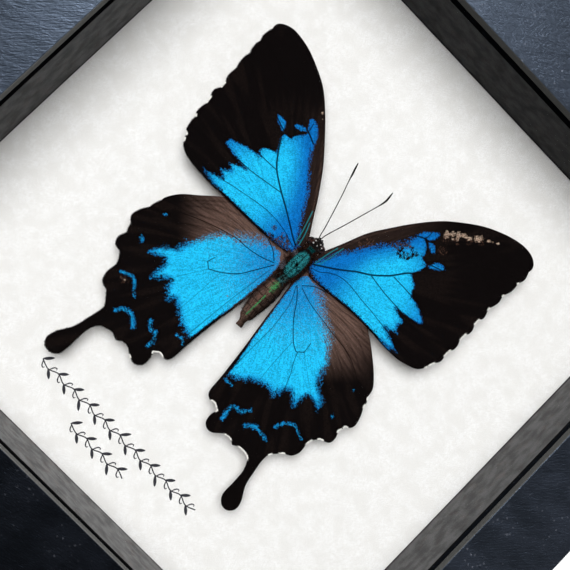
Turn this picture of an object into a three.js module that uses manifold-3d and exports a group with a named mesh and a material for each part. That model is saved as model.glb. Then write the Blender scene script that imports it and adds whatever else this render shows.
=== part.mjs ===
// A swallowtail butterfly, pinned with its wings spread, in a deep square shadow-box frame.
// Millimetres. The frame lies on its back: +Z is its front, +Y its top, +X its right side, and the
// origin is the middle of its rear plane. Left and right are as seen from the front.

import * as THREE from 'three'
import { mergeVertices } from 'three/addons/utils/BufferGeometryUtils.js'
import Module from 'manifold-3d'

// ---- Driving dimensions ------------------------------------------------------------------------

const SIGHT_WIDTH = 178 // opening that shows the specimen, along X
const SIGHT_HEIGHT = 179 // the same opening, along Y
const RAIL_WIDTH = 24 // face of the moulding
const FRAME_DEPTH = 40
const GAP = 0.3 // clearance between pieces that touch

const LIP_DEPTH = 2.8 // moulding in front of the glass groove
const GROOVE_HEIGHT = 3.6
const GROOVE_DEPTH = 4.5
const GLASS_THICKNESS = 2
const REBATE_WIDTH = 6.5 // rear rebate that holds the backing
const PAPER_TOP = 12 // height of the paper above the rear plane
const PAPER_THICKNESS = 0.5
const BOARD_THICKNESS = 4.2
const PANEL_THICKNESS = 3

const HINDWING_HEIGHT = 16.9 // underside of the hindwings above the rear plane
const FOREWING_HEIGHT = 17.6
const WING_THICKNESS = 0.3
const PIN_RADIUS = 0.25
const PIN_PLACE = [0.5, 4.8]

// ---- Solids: joining and cutting ---------------------------------------------------------------

const wasm = await Module()
wasm.setup()

// The closed solid that a geometry bounds
function toSolid(geometry) {
  const bare = geometry.clone()
  for (const extra of ['normal', 'uv']) {
    bare.deleteAttribute(extra)
  }
  const shared = mergeVertices(bare)
  return new wasm.Manifold(new wasm.Mesh({
    numProp: 3,
    vertProperties: new Float32Array(shared.attributes.position.array),
    triVerts: new Uint32Array(shared.index.array),
  }))
}

function toGeometry(solid) {
  const { vertProperties, triVerts } = solid.getMesh()
  const geometry = new THREE.BufferGeometry()
  geometry.setAttribute('position', new THREE.BufferAttribute(vertProperties, 3))
  geometry.setIndex(new THREE.BufferAttribute(triVerts, 1))
  return geometry
}

function cut(solid, tools) {
  return tools.reduce((rest, tool) => rest.subtract(tool), solid)
}

function join(solids) {
  return solids.reduce((whole, solid) => whole.add(solid))
}

// Box between two corners
function box(low, high) {
  const size = high.map((value, axis) => value - low[axis])
  const middle = high.map((value, axis) => (value + low[axis]) / 2)
  return new THREE.BoxGeometry(...size).translate(...middle)
}

// Upright cylinder at x, y between two heights
function upright(radius, x, y, bottom, top, sides = 16) {
  return new THREE.CylinderGeometry(radius, radius, top - bottom, sides)
    .rotateX(Math.PI / 2)
    .translate(x, y, (top + bottom) / 2)
}

const model = new THREE.Group()

function addPiece(name, geometry, material) {
  const piece = new THREE.Mesh(geometry, material)
  piece.name = name
  model.add(piece)
  return piece
}

// ---- Frame rails: one moulding, mitred at the corners ------------------------------------------

const railPaint = new THREE.MeshStandardMaterial({ color: 0x1c2129, roughness: 0.38, metalness: 0 })
const OUTER_ROUND = 0.8
const INNER_ROUND = 0.4
const MITRE_TRIM = GAP / Math.SQRT2 // taken off each rail's end, along the rail
const GROOVE_TOP = FRAME_DEPTH - LIP_DEPTH
const GROOVE_BOTTOM = GROOVE_TOP - GROOVE_HEIGHT
const LEDGE_HEIGHT = PAPER_TOP + GAP

// Cross-section: x runs outward from the sight edge, y up from the rear plane
const railSection = new THREE.Shape()
railSection.moveTo(REBATE_WIDTH, 0)
railSection.lineTo(RAIL_WIDTH, 0)
railSection.lineTo(RAIL_WIDTH, FRAME_DEPTH - OUTER_ROUND)
railSection.absarc(RAIL_WIDTH - OUTER_ROUND, FRAME_DEPTH - OUTER_ROUND, OUTER_ROUND, 0, Math.PI / 2)
railSection.lineTo(INNER_ROUND, FRAME_DEPTH)
railSection.absarc(INNER_ROUND, FRAME_DEPTH - INNER_ROUND, INNER_ROUND, Math.PI / 2, Math.PI)
railSection.lineTo(0, GROOVE_TOP)
railSection.lineTo(GROOVE_DEPTH, GROOVE_TOP)
railSection.lineTo(GROOVE_DEPTH, GROOVE_BOTTOM)
railSection.lineTo(0, GROOVE_BOTTOM)
railSection.lineTo(0, LEDGE_HEIGHT)
railSection.lineTo(REBATE_WIDTH, LEDGE_HEIGHT)
railSection.closePath()

// Framing points: flat steel tabs, pushed into slits in the rebate wall behind the back panel
const POINT_PLACES = [-48, 48] // along each rail
const POINT_WIDTH = 7
const POINT_THICKNESS = 0.5
const POINT_BITE = 3 // depth in the wood
const POINT_REACH = 9 // length over the panel
const PANEL_BOTTOM = PAPER_TOP - PAPER_THICKNESS - GAP - BOARD_THICKNESS - GAP - PANEL_THICKNESS
const POINT_BOTTOM = PANEL_BOTTOM - GAP - POINT_THICKNESS

// Hanger: a bent steel strip with a toothed edge, let into the back of the top rail
const HANGER_LENGTH = 44
const HANGER_WIDTH = 8
const HANGER_METAL = 0.5
const HANGER_BRIDGE = 26 // length of the raised middle
const HANGER_RAMP = 3 // length of each slope up to it
const HANGER_TEETH = 9
const TOOTH_DEPTH = 1.4
const POCKET_DEPTH = 2.4
const POCKET_MARGIN = 1.5
const HANGER_FROM_SIGHT = 13 // sight edge to the strip's middle
const NAIL_RADIUS = 0.6
const NAIL_HEAD_RADIUS = 1.6
const NAIL_LENGTH = 9
const NAIL_PLACES = [-18.5, 18.5]

function railSolid(alongHalf, outHalf) {
  const geometry = new THREE.ExtrudeGeometry(railSection, { depth: 1, bevelEnabled: false, curveSegments: 4 })
  const points = geometry.attributes.position
  for (let i = 0; i < points.count; i++) {
    const outward = points.getX(i)
    const height = points.getY(i)
    const end = points.getZ(i) > 0.5 ? 1 : -1
    points.setXYZ(i, end * (alongHalf + outward - MITRE_TRIM), outHalf + outward, height)
  }
  const slits = POINT_PLACES.map((along) => toSolid(box(
    [along - POINT_WIDTH / 2 - GAP, outHalf + REBATE_WIDTH - 1, POINT_BOTTOM - GAP],
    [along + POINT_WIDTH / 2 + GAP, outHalf + REBATE_WIDTH + POINT_BITE + GAP, POINT_BOTTOM + POINT_THICKNESS + GAP],
  )))
  return cut(toSolid(geometry), slits)
}

// Pocket and nail holes behind the hanger, in the top rail's own place
function hangerRoom(outHalf) {
  const across = outHalf + HANGER_FROM_SIGHT
  const halfLength = HANGER_LENGTH / 2 + POCKET_MARGIN
  const halfWidth = HANGER_WIDTH / 2 + POCKET_MARGIN
  const pocket = box([-halfLength, across - halfWidth, -1], [halfLength, across + halfWidth, POCKET_DEPTH])
  const holes = NAIL_PLACES.map((x) =>
    upright(NAIL_RADIUS + GAP, x, across, 0, NAIL_LENGTH + 1.5, 12))
  return [pocket, ...holes].map(toSolid)
}

const HALF_WIDTH = SIGHT_WIDTH / 2
const HALF_HEIGHT = SIGHT_HEIGHT / 2
const sides = [
  { name: 'top', alongHalf: HALF_WIDTH, outHalf: HALF_HEIGHT, turn: 0 },
  { name: 'left', alongHalf: HALF_HEIGHT, outHalf: HALF_WIDTH, turn: Math.PI / 2 },
  { name: 'bottom', alongHalf: HALF_WIDTH, outHalf: HALF_HEIGHT, turn: Math.PI },
  { name: 'right', alongHalf: HALF_HEIGHT, outHalf: HALF_WIDTH, turn: -Math.PI / 2 },
]

for (const { name, alongHalf, outHalf, turn } of sides) {
  const plain = railSolid(alongHalf, outHalf)
  const solid = name === 'top' ? cut(plain, hangerRoom(outHalf)) : plain
  addPiece(`rail_${name}`, toGeometry(solid), railPaint.clone()).rotation.z = turn
}

// ---- Framing points ----------------------------------------------------------------------------

const tabSteel = new THREE.MeshStandardMaterial({ color: 0x9aa0a4, roughness: 0.35, metalness: 1 })

// Seen from behind: square over the panel, drawn to a blunt tip in the wood
function framingPoint(outHalf, along) {
  const root = outHalf + REBATE_WIDTH
  const outline = new THREE.Shape()
  outline.moveTo(along - POINT_WIDTH / 2, root - POINT_REACH)
  outline.lineTo(along + POINT_WIDTH / 2, root - POINT_REACH)
  outline.lineTo(along + POINT_WIDTH / 2, root)
  outline.lineTo(along + POINT_WIDTH / 6, root + POINT_BITE)
  outline.lineTo(along - POINT_WIDTH / 6, root + POINT_BITE)
  outline.lineTo(along - POINT_WIDTH / 2, root)
  outline.closePath()
  return new THREE.ExtrudeGeometry(outline, { depth: POINT_THICKNESS, bevelEnabled: false })
    .translate(0, 0, POINT_BOTTOM)
}

for (const { name, outHalf, turn } of sides) {
  POINT_PLACES.forEach((along, i) => {
    const tab = addPiece(`framing_point_${name}_${i + 1}`, framingPoint(outHalf, along), tabSteel.clone())
    tab.rotation.z = turn
  })
}

// ---- Hanger and its nails ----------------------------------------------------------------------

const hangerSteel = new THREE.MeshStandardMaterial({ color: 0xb7a26a, roughness: 0.4, metalness: 1 })
const nailSteel = new THREE.MeshStandardMaterial({ color: 0x8f9296, roughness: 0.4, metalness: 1 })
const HANGER_Y = HALF_HEIGHT + HANGER_FROM_SIGHT
const EAR_BOTTOM = POCKET_DEPTH - GAP - HANGER_METAL
const BRIDGE_BOTTOM = GAP

function hangerStrip() {
  const half = HANGER_LENGTH / 2
  const flat = HANGER_BRIDGE / 2
  const foot = flat + HANGER_RAMP
  const edge = new THREE.Shape()
  edge.moveTo(-half, EAR_BOTTOM)
  edge.lineTo(-foot, EAR_BOTTOM)
  edge.lineTo(-flat, BRIDGE_BOTTOM)
  edge.lineTo(flat, BRIDGE_BOTTOM)
  edge.lineTo(foot, EAR_BOTTOM)
  edge.lineTo(half, EAR_BOTTOM)
  edge.lineTo(half, EAR_BOTTOM + HANGER_METAL)
  edge.lineTo(foot, EAR_BOTTOM + HANGER_METAL)
  edge.lineTo(flat, BRIDGE_BOTTOM + HANGER_METAL)
  edge.lineTo(-flat, BRIDGE_BOTTOM + HANGER_METAL)
  edge.lineTo(-foot, EAR_BOTTOM + HANGER_METAL)
  edge.lineTo(-half, EAR_BOTTOM + HANGER_METAL)
  edge.closePath()
  const strip = new THREE.ExtrudeGeometry(edge, { depth: HANGER_WIDTH, bevelEnabled: false })
    .rotateX(Math.PI / 2)
    .translate(0, HANGER_Y + HANGER_WIDTH / 2, 0)
  const pitch = (HANGER_BRIDGE - 2) / HANGER_TEETH
  const lowerEdge = HANGER_Y - HANGER_WIDTH / 2
  const notches = Array.from({ length: HANGER_TEETH }, (_, i) => {
    const x = (i - (HANGER_TEETH - 1) / 2) * pitch
    const notch = new THREE.Shape()
    notch.moveTo(x - pitch * 0.42, lowerEdge - 0.1)
    notch.lineTo(x + pitch * 0.42, lowerEdge - 0.1)
    notch.lineTo(x, lowerEdge + TOOTH_DEPTH)
    notch.closePath()
    return new THREE.ExtrudeGeometry(notch, { depth: POCKET_DEPTH, bevelEnabled: false })
  })
  const holes = NAIL_PLACES.map((x) =>
    upright(NAIL_RADIUS + GAP, x, HANGER_Y, EAR_BOTTOM - 1, EAR_BOTTOM + 1, 12))
  return toGeometry(cut(toSolid(strip), [...notches, ...holes].map(toSolid)))
}

addPiece('hanger_strip', hangerStrip(), hangerSteel)

// Flat head below the strip, shank up into the wood
function nail(x) {
  const headTop = EAR_BOTTOM - GAP
  const profile = [
    [0, headTop - 0.6],
    [NAIL_HEAD_RADIUS, headTop - 0.6],
    [NAIL_HEAD_RADIUS, headTop],
    [NAIL_RADIUS, headTop],
    [NAIL_RADIUS, headTop + NAIL_LENGTH - 1.5],
    [0, headTop + NAIL_LENGTH],
  ].map(([radius, height]) => new THREE.Vector2(radius, height))
  return new THREE.LatheGeometry(profile, 12).rotateX(Math.PI / 2).translate(x, HANGER_Y, 0)
}

NAIL_PLACES.forEach((x, i) => addPiece(`hanger_nail_${i + 1}`, nail(x), nailSteel.clone()))

// ---- Glass -------------------------------------------------------------------------------------

const glass = new THREE.MeshStandardMaterial({
  color: 0xf4fbf8, roughness: 0.03, metalness: 0, transparent: true, opacity: 0.15,
})
const GLASS_BOTTOM = GROOVE_BOTTOM + GAP
const GLASS_OVERLAP = GROOVE_DEPTH - GAP // how far the pane reaches into the groove

addPiece('glass_pane', box(
  [-HALF_WIDTH - GLASS_OVERLAP, -HALF_HEIGHT - GLASS_OVERLAP, GLASS_BOTTOM],
  [HALF_WIDTH + GLASS_OVERLAP, HALF_HEIGHT + GLASS_OVERLAP, GLASS_BOTTOM + GLASS_THICKNESS],
), glass)

// ---- Backing: paper on foam board, closed by a hardboard panel ---------------------------------

const paper = new THREE.MeshStandardMaterial({ color: 0xf3f2ef, roughness: 0.95, metalness: 0 })
const foamBoard = new THREE.MeshStandardMaterial({ color: 0xf7f7f5, roughness: 0.9, metalness: 0 })
const hardboard = new THREE.MeshStandardMaterial({ color: 0x6b4a2f, roughness: 0.8, metalness: 0 })
const BOARD_BOTTOM = PANEL_BOTTOM + PANEL_THICKNESS + GAP

// A sheet that fills the rebate; a pinned sheet has a hole for the pin
function sheet(bottom, thickness, pinned) {
  const halfWidth = HALF_WIDTH + REBATE_WIDTH - GAP
  const halfHeight = HALF_HEIGHT + REBATE_WIDTH - GAP
  const outline = new THREE.Shape()
  outline.moveTo(-halfWidth, -halfHeight)
  outline.lineTo(halfWidth, -halfHeight)
  outline.lineTo(halfWidth, halfHeight)
  outline.lineTo(-halfWidth, halfHeight)
  outline.closePath()
  if (pinned) {
    outline.holes.push(new THREE.Path().absarc(...PIN_PLACE, PIN_RADIUS + GAP, 0, 2 * Math.PI, true))
  }
  return new THREE.ExtrudeGeometry(outline, { depth: thickness, bevelEnabled: false, curveSegments: 12 })
    .translate(0, 0, bottom)
}

addPiece('mount_paper', sheet(PAPER_TOP - PAPER_THICKNESS, PAPER_THICKNESS, true), paper)
addPiece('mount_board', sheet(BOARD_BOTTOM, BOARD_THICKNESS, true), foamBoard)
addPiece('back_panel', sheet(PANEL_BOTTOM, PANEL_THICKNESS, false), hardboard)

// ---- Insect body: head, thorax, abdomen, palps and legs, grown as one --------------------------

const chitin = new THREE.MeshStandardMaterial({ color: 0x4a3a30, roughness: 0.75, metalness: 0 })

// A closed rod along a path, round or oval, with its own half-width and half-height at each point.
// Straight spans are rounded off by a smooth curve through the points.
function rod(stations, steps, sideCount, grow = 0) {
  const path = new THREE.CatmullRomCurve3(stations.map(({ at }) => new THREE.Vector3(...at)))
  const girth = new THREE.CatmullRomCurve3(stations.map(({ half }) => new THREE.Vector3(...half, 0)))
  const up = new THREE.Vector3(0, 0, 1)
  const positions = []
  for (let i = 0; i <= steps; i++) {
    const centre = path.getPoint(i / steps)
    const along = path.getTangent(i / steps)
    const side = new THREE.Vector3().crossVectors(along, up).normalize()
    const rise = new THREE.Vector3().crossVectors(side, along)
    const half = girth.getPoint(i / steps)
    for (let j = 0; j < sideCount; j++) {
      const angle = (2 * Math.PI * j) / sideCount
      positions.push(...centre.clone()
        .addScaledVector(side, (half.x + grow) * Math.cos(angle))
        .addScaledVector(rise, (half.y + grow) * Math.sin(angle)))
    }
  }
  const index = []
  for (let i = 0; i < steps; i++) {
    for (let j = 0; j < sideCount; j++) {
      const here = i * sideCount + j
      const next = i * sideCount + ((j + 1) % sideCount)
      index.push(here, here + sideCount, next)
      index.push(here + sideCount, next + sideCount, next)
    }
  }
  const lastRing = steps * sideCount
  for (let j = 1; j < sideCount - 1; j++) {
    index.push(0, j, j + 1)
    index.push(lastRing, lastRing + j + 1, lastRing + j)
  }
  const geometry = new THREE.BufferGeometry()
  geometry.setAttribute('position', new THREE.Float32BufferAttribute(positions, 3))
  geometry.setIndex(index)
  return geometry
}

// Trunk from the front of the head to the tip of the abdomen
const trunk = [
  { at: [0.55, 16.1, 17.0], half: [0.6, 0.6] },
  { at: [0.6, 15.2, 17.1], half: [1.5, 1.4] },
  { at: [0.65, 13.6, 17.2], half: [2.0, 1.9] },
  { at: [0.6, 12.2, 17.2], half: [1.7, 1.7] },
  { at: [0.55, 11.3, 17.1], half: [1.4, 1.4] },
  { at: [0.5, 10.4, 17.2], half: [2.0, 1.9] },
  { at: [0.5, 8.2, 17.4], half: [2.9, 2.7] },
  { at: [0.5, 5.4, 17.5], half: [3.2, 3.0] },
  { at: [0.5, 2.6, 17.4], half: [2.9, 2.7] },
  { at: [0.5, 0.4, 17.2], half: [2.2, 2.1] },
  { at: [0.5, -1.6, 17.0], half: [1.9, 1.8] },
  { at: [0.55, -4.0, 17.0], half: [2.8, 2.3] },
  { at: [0.6, -7.4, 17.0], half: [3.3, 2.6] },
  { at: [0.65, -10.8, 16.9], half: [3.1, 2.4] },
  { at: [0.75, -14.4, 16.8], half: [2.5, 2.0] },
  { at: [0.9, -17.6, 16.7], half: [1.7, 1.4] },
  { at: [1.1, -19.8, 16.6], half: [0.9, 0.8] },
  { at: [1.2, -20.7, 16.6], half: [0.3, 0.3] },
]

const eyes = [
  { at: [-1.25, 13.5, 17.4], radius: 1.2 },
  { at: [2.45, 13.7, 17.4], radius: 1.2 },
]

function trunkAndEyes(grow) {
  const balls = eyes.map(({ at, radius }) => new THREE.SphereGeometry(radius + grow, 14, 9).translate(...at))
  return join([rod(trunk, 51, 16, grow), ...balls].map(toSolid))
}

// Each leg folds under the body: thigh out and down, shin back in, foot trailing behind
function leg(side, y) {
  const middle = PIN_PLACE[0]
  return rod([
    { at: [middle + side * 1.2, y, 15.6], half: [0.4, 0.4] },
    { at: [middle + side * 3.4, y - 0.6, 14.3], half: [0.35, 0.35] },
    { at: [middle + side * 2.2, y - 4.2, 13.5], half: [0.25, 0.25] },
    { at: [middle + side * 2.8, y - 7.6, 13.1], half: [0.15, 0.15] },
  ], 9, 6)
}

function palp(side) {
  const middle = trunk[0].at[0]
  return rod([
    { at: [middle + side * 0.5, 15.3, 16.9], half: [0.4, 0.4] },
    { at: [middle + side * 0.55, 16.4, 17.2], half: [0.35, 0.35] },
    { at: [middle + side * 0.45, 17.1, 17.5], half: [0.12, 0.12] },
  ], 5, 6)
}

function specimenBody() {
  const legs = [9.4, 6.2, 2.8].flatMap((y) => [leg(-1, y), leg(1, y)])
  const limbs = [...legs, palp(-1), palp(1)].map(toSolid)
  const pinHole = toSolid(upright(PIN_RADIUS + GAP, ...PIN_PLACE, PAPER_TOP, FRAME_DEPTH, 12))
  return toGeometry(cut(join([trunkAndEyes(0), ...limbs]), [pinHole]))
}

addPiece('body', specimenBody(), chitin)

// ---- Antennae ----------------------------------------------------------------------------------

const horn = new THREE.MeshStandardMaterial({ color: 0x14100d, roughness: 0.5, metalness: 0 })
const SHAFT_HALF = 0.16
const CLUB_HALF = 0.3

// A thin shaft that thickens to a club at its tip; the last three points are the club
function antenna(route) {
  const stations = route.map(([x, y], i) => {
    const half = i < route.length - 3 ? SHAFT_HALF : CLUB_HALF
    const tip = i === route.length - 1 ? CLUB_HALF / 2 : half
    return { at: [x, y, 18.2 + i * 0.15], half: [tip, tip] }
  })
  return rod(stations, 18, 8)
}

const antennae = {
  left: [[-0.75, 17.0], [-1.3, 19.2], [-2.7, 23.7], [-4.7, 29.9], [-6.5, 34.9], [-7.1, 36.8], [-7.8, 38.8], [-8.4, 40.6]],
  right: [[0.4, 17.3], [0.95, 19.6], [2.3, 24.2], [3.9, 30.1], [5.3, 35.3], [5.95, 38.3], [5.9, 40.2], [5.6, 42.0]],
}
for (const [side, route] of Object.entries(antennae)) {
  addPiece(`antenna_${side}`, antenna(route), horn.clone())
}

// ---- Wings -------------------------------------------------------------------------------------

const wingScales = new THREE.MeshStandardMaterial({ color: 0x1b1a20, roughness: 0.7, metalness: 0 })
const SPAN_STEPS = 3 // straight pieces between two outline points

// An outline is a closed chain of runs. Each run is a smooth curve from where the last one ended,
// through its points; where two runs meet there is a corner, such as a notch between two lobes.
const wings = {
  forewing_right: {
    height: FOREWING_HEIGHT,
    runs: [
      // leading edge and tip
      [[4.0, 15.1], [6.2, 20.4], [9.0, 27.6], [12.7, 33.8], [17.3, 40.7], [22.7, 47.4], [28.1, 52.2],
        [33.8, 56.3], [40.0, 59.3], [45.0, 60.8], [48.5, 61.1], [51.2, 60.6], [53.2, 59.3],
        [53.95, 57.8], [53.75, 56.4]],
      // outer margin, a lobe at a time
      [[54.5, 54.3], [54.4, 52.9], [53.75, 51.4]],
      [[54.15, 49.6], [54.0, 47.6], [53.05, 45.2]],
      [[53.65, 43.2], [53.55, 41.6], [52.75, 39.0]],
      [[53.7, 36.4], [53.6, 35.2], [53.0, 34.5]],
      [[53.05, 32.3]],
      [[53.9, 30.6], [53.85, 28.8], [53.2, 28.2]],
      [[53.15, 25.6]],
      [[53.95, 23.6], [53.85, 21.8], [53.25, 21.1]],
      [[53.15, 18.5]],
      [[53.6, 17.4], [53.4, 15.9], [52.5, 14.8]],
      [[51.9, 13.0]],
      // trailing edge back to the root
      [[51.3, 11.2], [49.6, 9.3], [46.2, 8.0], [42.7, 7.2], [36.9, 7.0], [30.8, 7.3], [23.8, 7.3],
        [16.9, 6.5], [10.0, 5.8], [5.6, 5.6]],
      [[3.0, 8.6], [3.2, 12.6], [4.0, 15.1]],
    ],
  },
  forewing_left: {
    height: FOREWING_HEIGHT,
    runs: [
      [[-2.5, 13.8], [-5.8, 18.8], [-9.2, 24.2], [-14.6, 31.7], [-19.6, 37.4], [-26.2, 44.15],
        [-32.3, 49.3], [-38.5, 52.5], [-44.6, 54.7], [-50.4, 55.5], [-53.6, 54.9], [-55.8, 53.5],
        [-56.45, 52.0], [-56.15, 50.6]],
      [[-56.6, 48.6], [-56.6, 47.0], [-56.0, 45.5]],
      [[-56.3, 43.8], [-56.1, 42.0], [-55.5, 40.3]],
      [[-55.85, 38.4], [-55.7, 36.4], [-55.0, 33.8]],
      [[-55.25, 31.8], [-55.0, 30.0], [-54.25, 28.8]],
      [[-54.05, 26.5]],
      [[-54.9, 24.8], [-54.75, 23.2], [-54.1, 22.4]],
      [[-53.6, 19.5]],
      [[-53.95, 17.6], [-53.75, 15.9], [-53.05, 15.1]],
      [[-52.85, 12.4], [-52.2, 10.2], [-51.1, 9.2]],
      [[-50.65, 8.0], [-50.1, 7.1]],
      [[-49.3, 5.9], [-47.0, 4.7], [-43.5, 4.0], [-36.2, 3.6], [-28.5, 4.0], [-20.8, 4.3],
        [-10.4, 4.9], [-4.4, 6.0]],
      [[-2.0, 8.0], [-1.9, 11.0], [-2.5, 13.8]],
    ],
  },
  hindwing_right: {
    height: HINDWING_HEIGHT,
    runs: [
      [[2.6, 4.0], [4.0, 7.4], [14.0, 9.0], [26.0, 9.2], [32.4, 5.95], [36.7, 2.9], [41.5, -1.05],
        [44.6, -4.5], [45.3, -7.4]],
      [[46.3, -9.2], [46.45, -10.6]],
      [[47.9, -13.3], [48.7, -16.2], [48.2, -18.0], [46.7, -18.9]],
      [[46.6, -20.0], [46.1, -21.3]],
      [[47.1, -23.6], [46.7, -25.9], [43.9, -27.1]],
      [[42.4, -29.2], [41.9, -31.0]],
      [[42.3, -34.3], [41.2, -36.8], [38.9, -38.1]],
      // tail
      [[36.2, -41.4], [35.8, -44.3], [36.5, -48.6], [37.6, -53.2], [40.0, -57.4], [40.5, -60.2],
        [39.0, -62.2], [36.6, -62.2], [34.6, -59.8], [34.35, -54.8], [33.9, -50.2], [31.9, -46.7],
        [28.2, -46.2], [26.0, -47.3]],
      [[24.0, -46.3], [21.4, -46.9], [19.1, -48.8], [17.2, -49.2], [15.4, -48.1], [14.8, -45.7],
        [15.3, -43.2]],
      [[13.1, -42.05], [11.4, -42.5]],
      // inner margin back to the root
      [[9.5, -40.8], [8.8, -34.3], [7.4, -23.8], [5.8, -13.8], [4.6, -5.4], [3.6, 0.2], [2.6, 4.0]],
    ],
  },
  hindwing_left: {
    height: HINDWING_HEIGHT,
    runs: [
      [[-1.6, 3.4], [-3.0, 6.6], [-12.0, 7.4], [-24.0, 6.8], [-29.85, 3.6], [-35.3, -1.3],
        [-39.5, -5.2], [-41.9, -9.1], [-42.05, -10.7]],
      [[-42.8, -12.8], [-42.9, -14.4]],
      [[-44.4, -17.0], [-45.0, -19.3], [-44.6, -20.9], [-43.3, -22.0]],
      [[-43.0, -23.5], [-42.2, -24.8]],
      [[-43.1, -27.4], [-42.2, -29.6], [-39.7, -30.2]],
      [[-38.3, -32.0], [-37.5, -33.9]],
      [[-37.9, -37.4], [-36.8, -40.3], [-34.3, -41.1]],
      [[-31.4, -44.5], [-31.0, -46.4], [-31.9, -51.0], [-33.1, -55.9], [-35.6, -60.4], [-36.3, -63.5],
        [-35.2, -65.6], [-32.9, -66.1], [-30.6, -64.7], [-29.95, -61.4], [-29.7, -54.0],
        [-28.2, -50.5], [-25.6, -49.2], [-23.6, -48.8]],
      [[-21.5, -49.7], [-19.95, -48.6]],
      [[-17.6, -48.6], [-15.0, -50.2], [-12.6, -50.9], [-10.6, -49.4], [-10.4, -46.6], [-11.2, -44.4]],
      [[-9.4, -43.1], [-7.8, -43.5]],
      [[-5.9, -42.2], [-5.3, -34.9], [-4.4, -25.2], [-3.1, -16.4], [-2.4, -6.1], [-1.8, -1.0],
        [-1.6, 3.4]],
    ],
  },
}

function wingOutline(runs) {
  const outline = []
  let start = runs.at(-1).at(-1)
  for (const run of runs) {
    const points = [start, ...run].filter(([x, y], i, all) => i === 0 || x !== all[i - 1][0] || y !== all[i - 1][1])
    const curve = new THREE.SplineCurve(points.map(([x, y]) => new THREE.Vector2(x, y)))
    outline.push(...curve.getPoints((points.length - 1) * SPAN_STEPS).slice(1))
    start = run.at(-1)
  }
  return outline
}

// The thin blade of a wing, with room left for the body at its root
function wing({ runs, height }) {
  const blade = new THREE.ExtrudeGeometry(new THREE.Shape(wingOutline(runs)), {
    depth: WING_THICKNESS, bevelEnabled: false,
  }).translate(0, 0, height)
  return toGeometry(cut(toSolid(blade), [trunkAndEyes(GAP)]))
}

for (const [name, shape] of Object.entries(wings)) {
  addPiece(name, wing(shape), wingScales.clone())
}

// ---- Pin ---------------------------------------------------------------------------------------

const pinSteel = new THREE.MeshStandardMaterial({ color: 0x1a1a1c, roughness: 0.3, metalness: 1 })
const PIN_TOP = 21.4
const PIN_HEAD_RADIUS = 0.5

function insectPin() {
  const tip = BOARD_BOTTOM + GAP
  const profile = [
    [0, tip],
    [PIN_RADIUS, tip + 1],
    [PIN_RADIUS, PIN_TOP - 0.5],
    [PIN_HEAD_RADIUS, PIN_TOP - 0.3],
    [PIN_HEAD_RADIUS, PIN_TOP - 0.15],
    [0, PIN_TOP],
  ].map(([radius, height]) => new THREE.Vector2(radius, height))
  return new THREE.LatheGeometry(profile, 12).rotateX(Math.PI / 2).translate(...PIN_PLACE, 0)
}

addPiece('pin', insectPin(), pinSteel)

export default model
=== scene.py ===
# A swallowtail butterfly, pinned with its wings spread, in a deep square shadow-box frame.
# The frame lies on its back: +Z is its front, +Y its top. Sizes are in millimetres until a mesh is made.

import math

import bpy
import numpy as np
from mathutils import Matrix, Vector
from mathutils.geometry import delaunay_2d_cdt


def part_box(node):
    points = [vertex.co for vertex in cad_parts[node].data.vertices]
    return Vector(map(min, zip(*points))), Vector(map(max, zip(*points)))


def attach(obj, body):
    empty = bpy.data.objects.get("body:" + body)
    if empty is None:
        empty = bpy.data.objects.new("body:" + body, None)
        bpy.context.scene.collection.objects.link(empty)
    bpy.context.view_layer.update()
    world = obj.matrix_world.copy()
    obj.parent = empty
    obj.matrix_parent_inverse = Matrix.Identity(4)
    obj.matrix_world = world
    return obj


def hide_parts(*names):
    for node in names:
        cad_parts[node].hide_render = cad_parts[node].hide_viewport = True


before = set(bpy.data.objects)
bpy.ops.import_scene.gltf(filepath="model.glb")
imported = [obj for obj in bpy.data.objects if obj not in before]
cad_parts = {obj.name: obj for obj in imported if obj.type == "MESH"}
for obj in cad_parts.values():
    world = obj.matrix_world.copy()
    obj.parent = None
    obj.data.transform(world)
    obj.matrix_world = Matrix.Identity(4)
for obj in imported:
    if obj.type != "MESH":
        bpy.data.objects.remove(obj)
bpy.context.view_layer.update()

# ---- The rails ---------------------------------------------------------------------------------
# Four lengths of one wooden moulding, mitred at the corners and glued into a deep box. The faces and
# outer sides are painted blue-black over an open grain, the inner walls have a thin grey coat, and
# the back edge and its rebate are bare wood. Shade is painted into the colour as well: on the bottom
# rail's face, on each inner wall and lip, at the walls' foot and in the glass groove.

MM = 0.001  # a millimetre, in metres
FACE_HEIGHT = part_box("rail_top")[1].z / MM
HALF_WIDTH = -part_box("rail_left")[1].x / MM  # from the middle to the sight edge
HALF_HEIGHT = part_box("rail_top")[0].y / MM
RAIL_FACE = 24  # width of the moulding's front
LIP_BOTTOM = FACE_HEIGHT - 2.8
GROOVE_BOTTOM = LIP_BOTTOM - 3.6
LEDGE_HEIGHT = 12.3
REBATE_WIDTH = 6.5
WALL_TOP = FACE_HEIGHT - 0.04  # where the wall's grey coat ends
GRAIN_TURN = math.radians(12)
SIDE_TURN = math.radians(48)
BOTTOM_POLISH = 0.2  # shares of the other rails' polish and brightness; the lower brightness is painted shade
BOTTOM_SHADED_SHARE = 0.34
RAIL_ARRIS = 0.12


def tone(red, green, blue):
    """A colour given as it looks on a screen, as the shader wants it."""
    parts = [value / 255 for value in (red, green, blue)]
    linear = [part / 12.92 if part < 0.04045 else ((part + 0.055) / 1.055) ** 2.4 for part in parts]
    return (*linear, 1.0)


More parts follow.
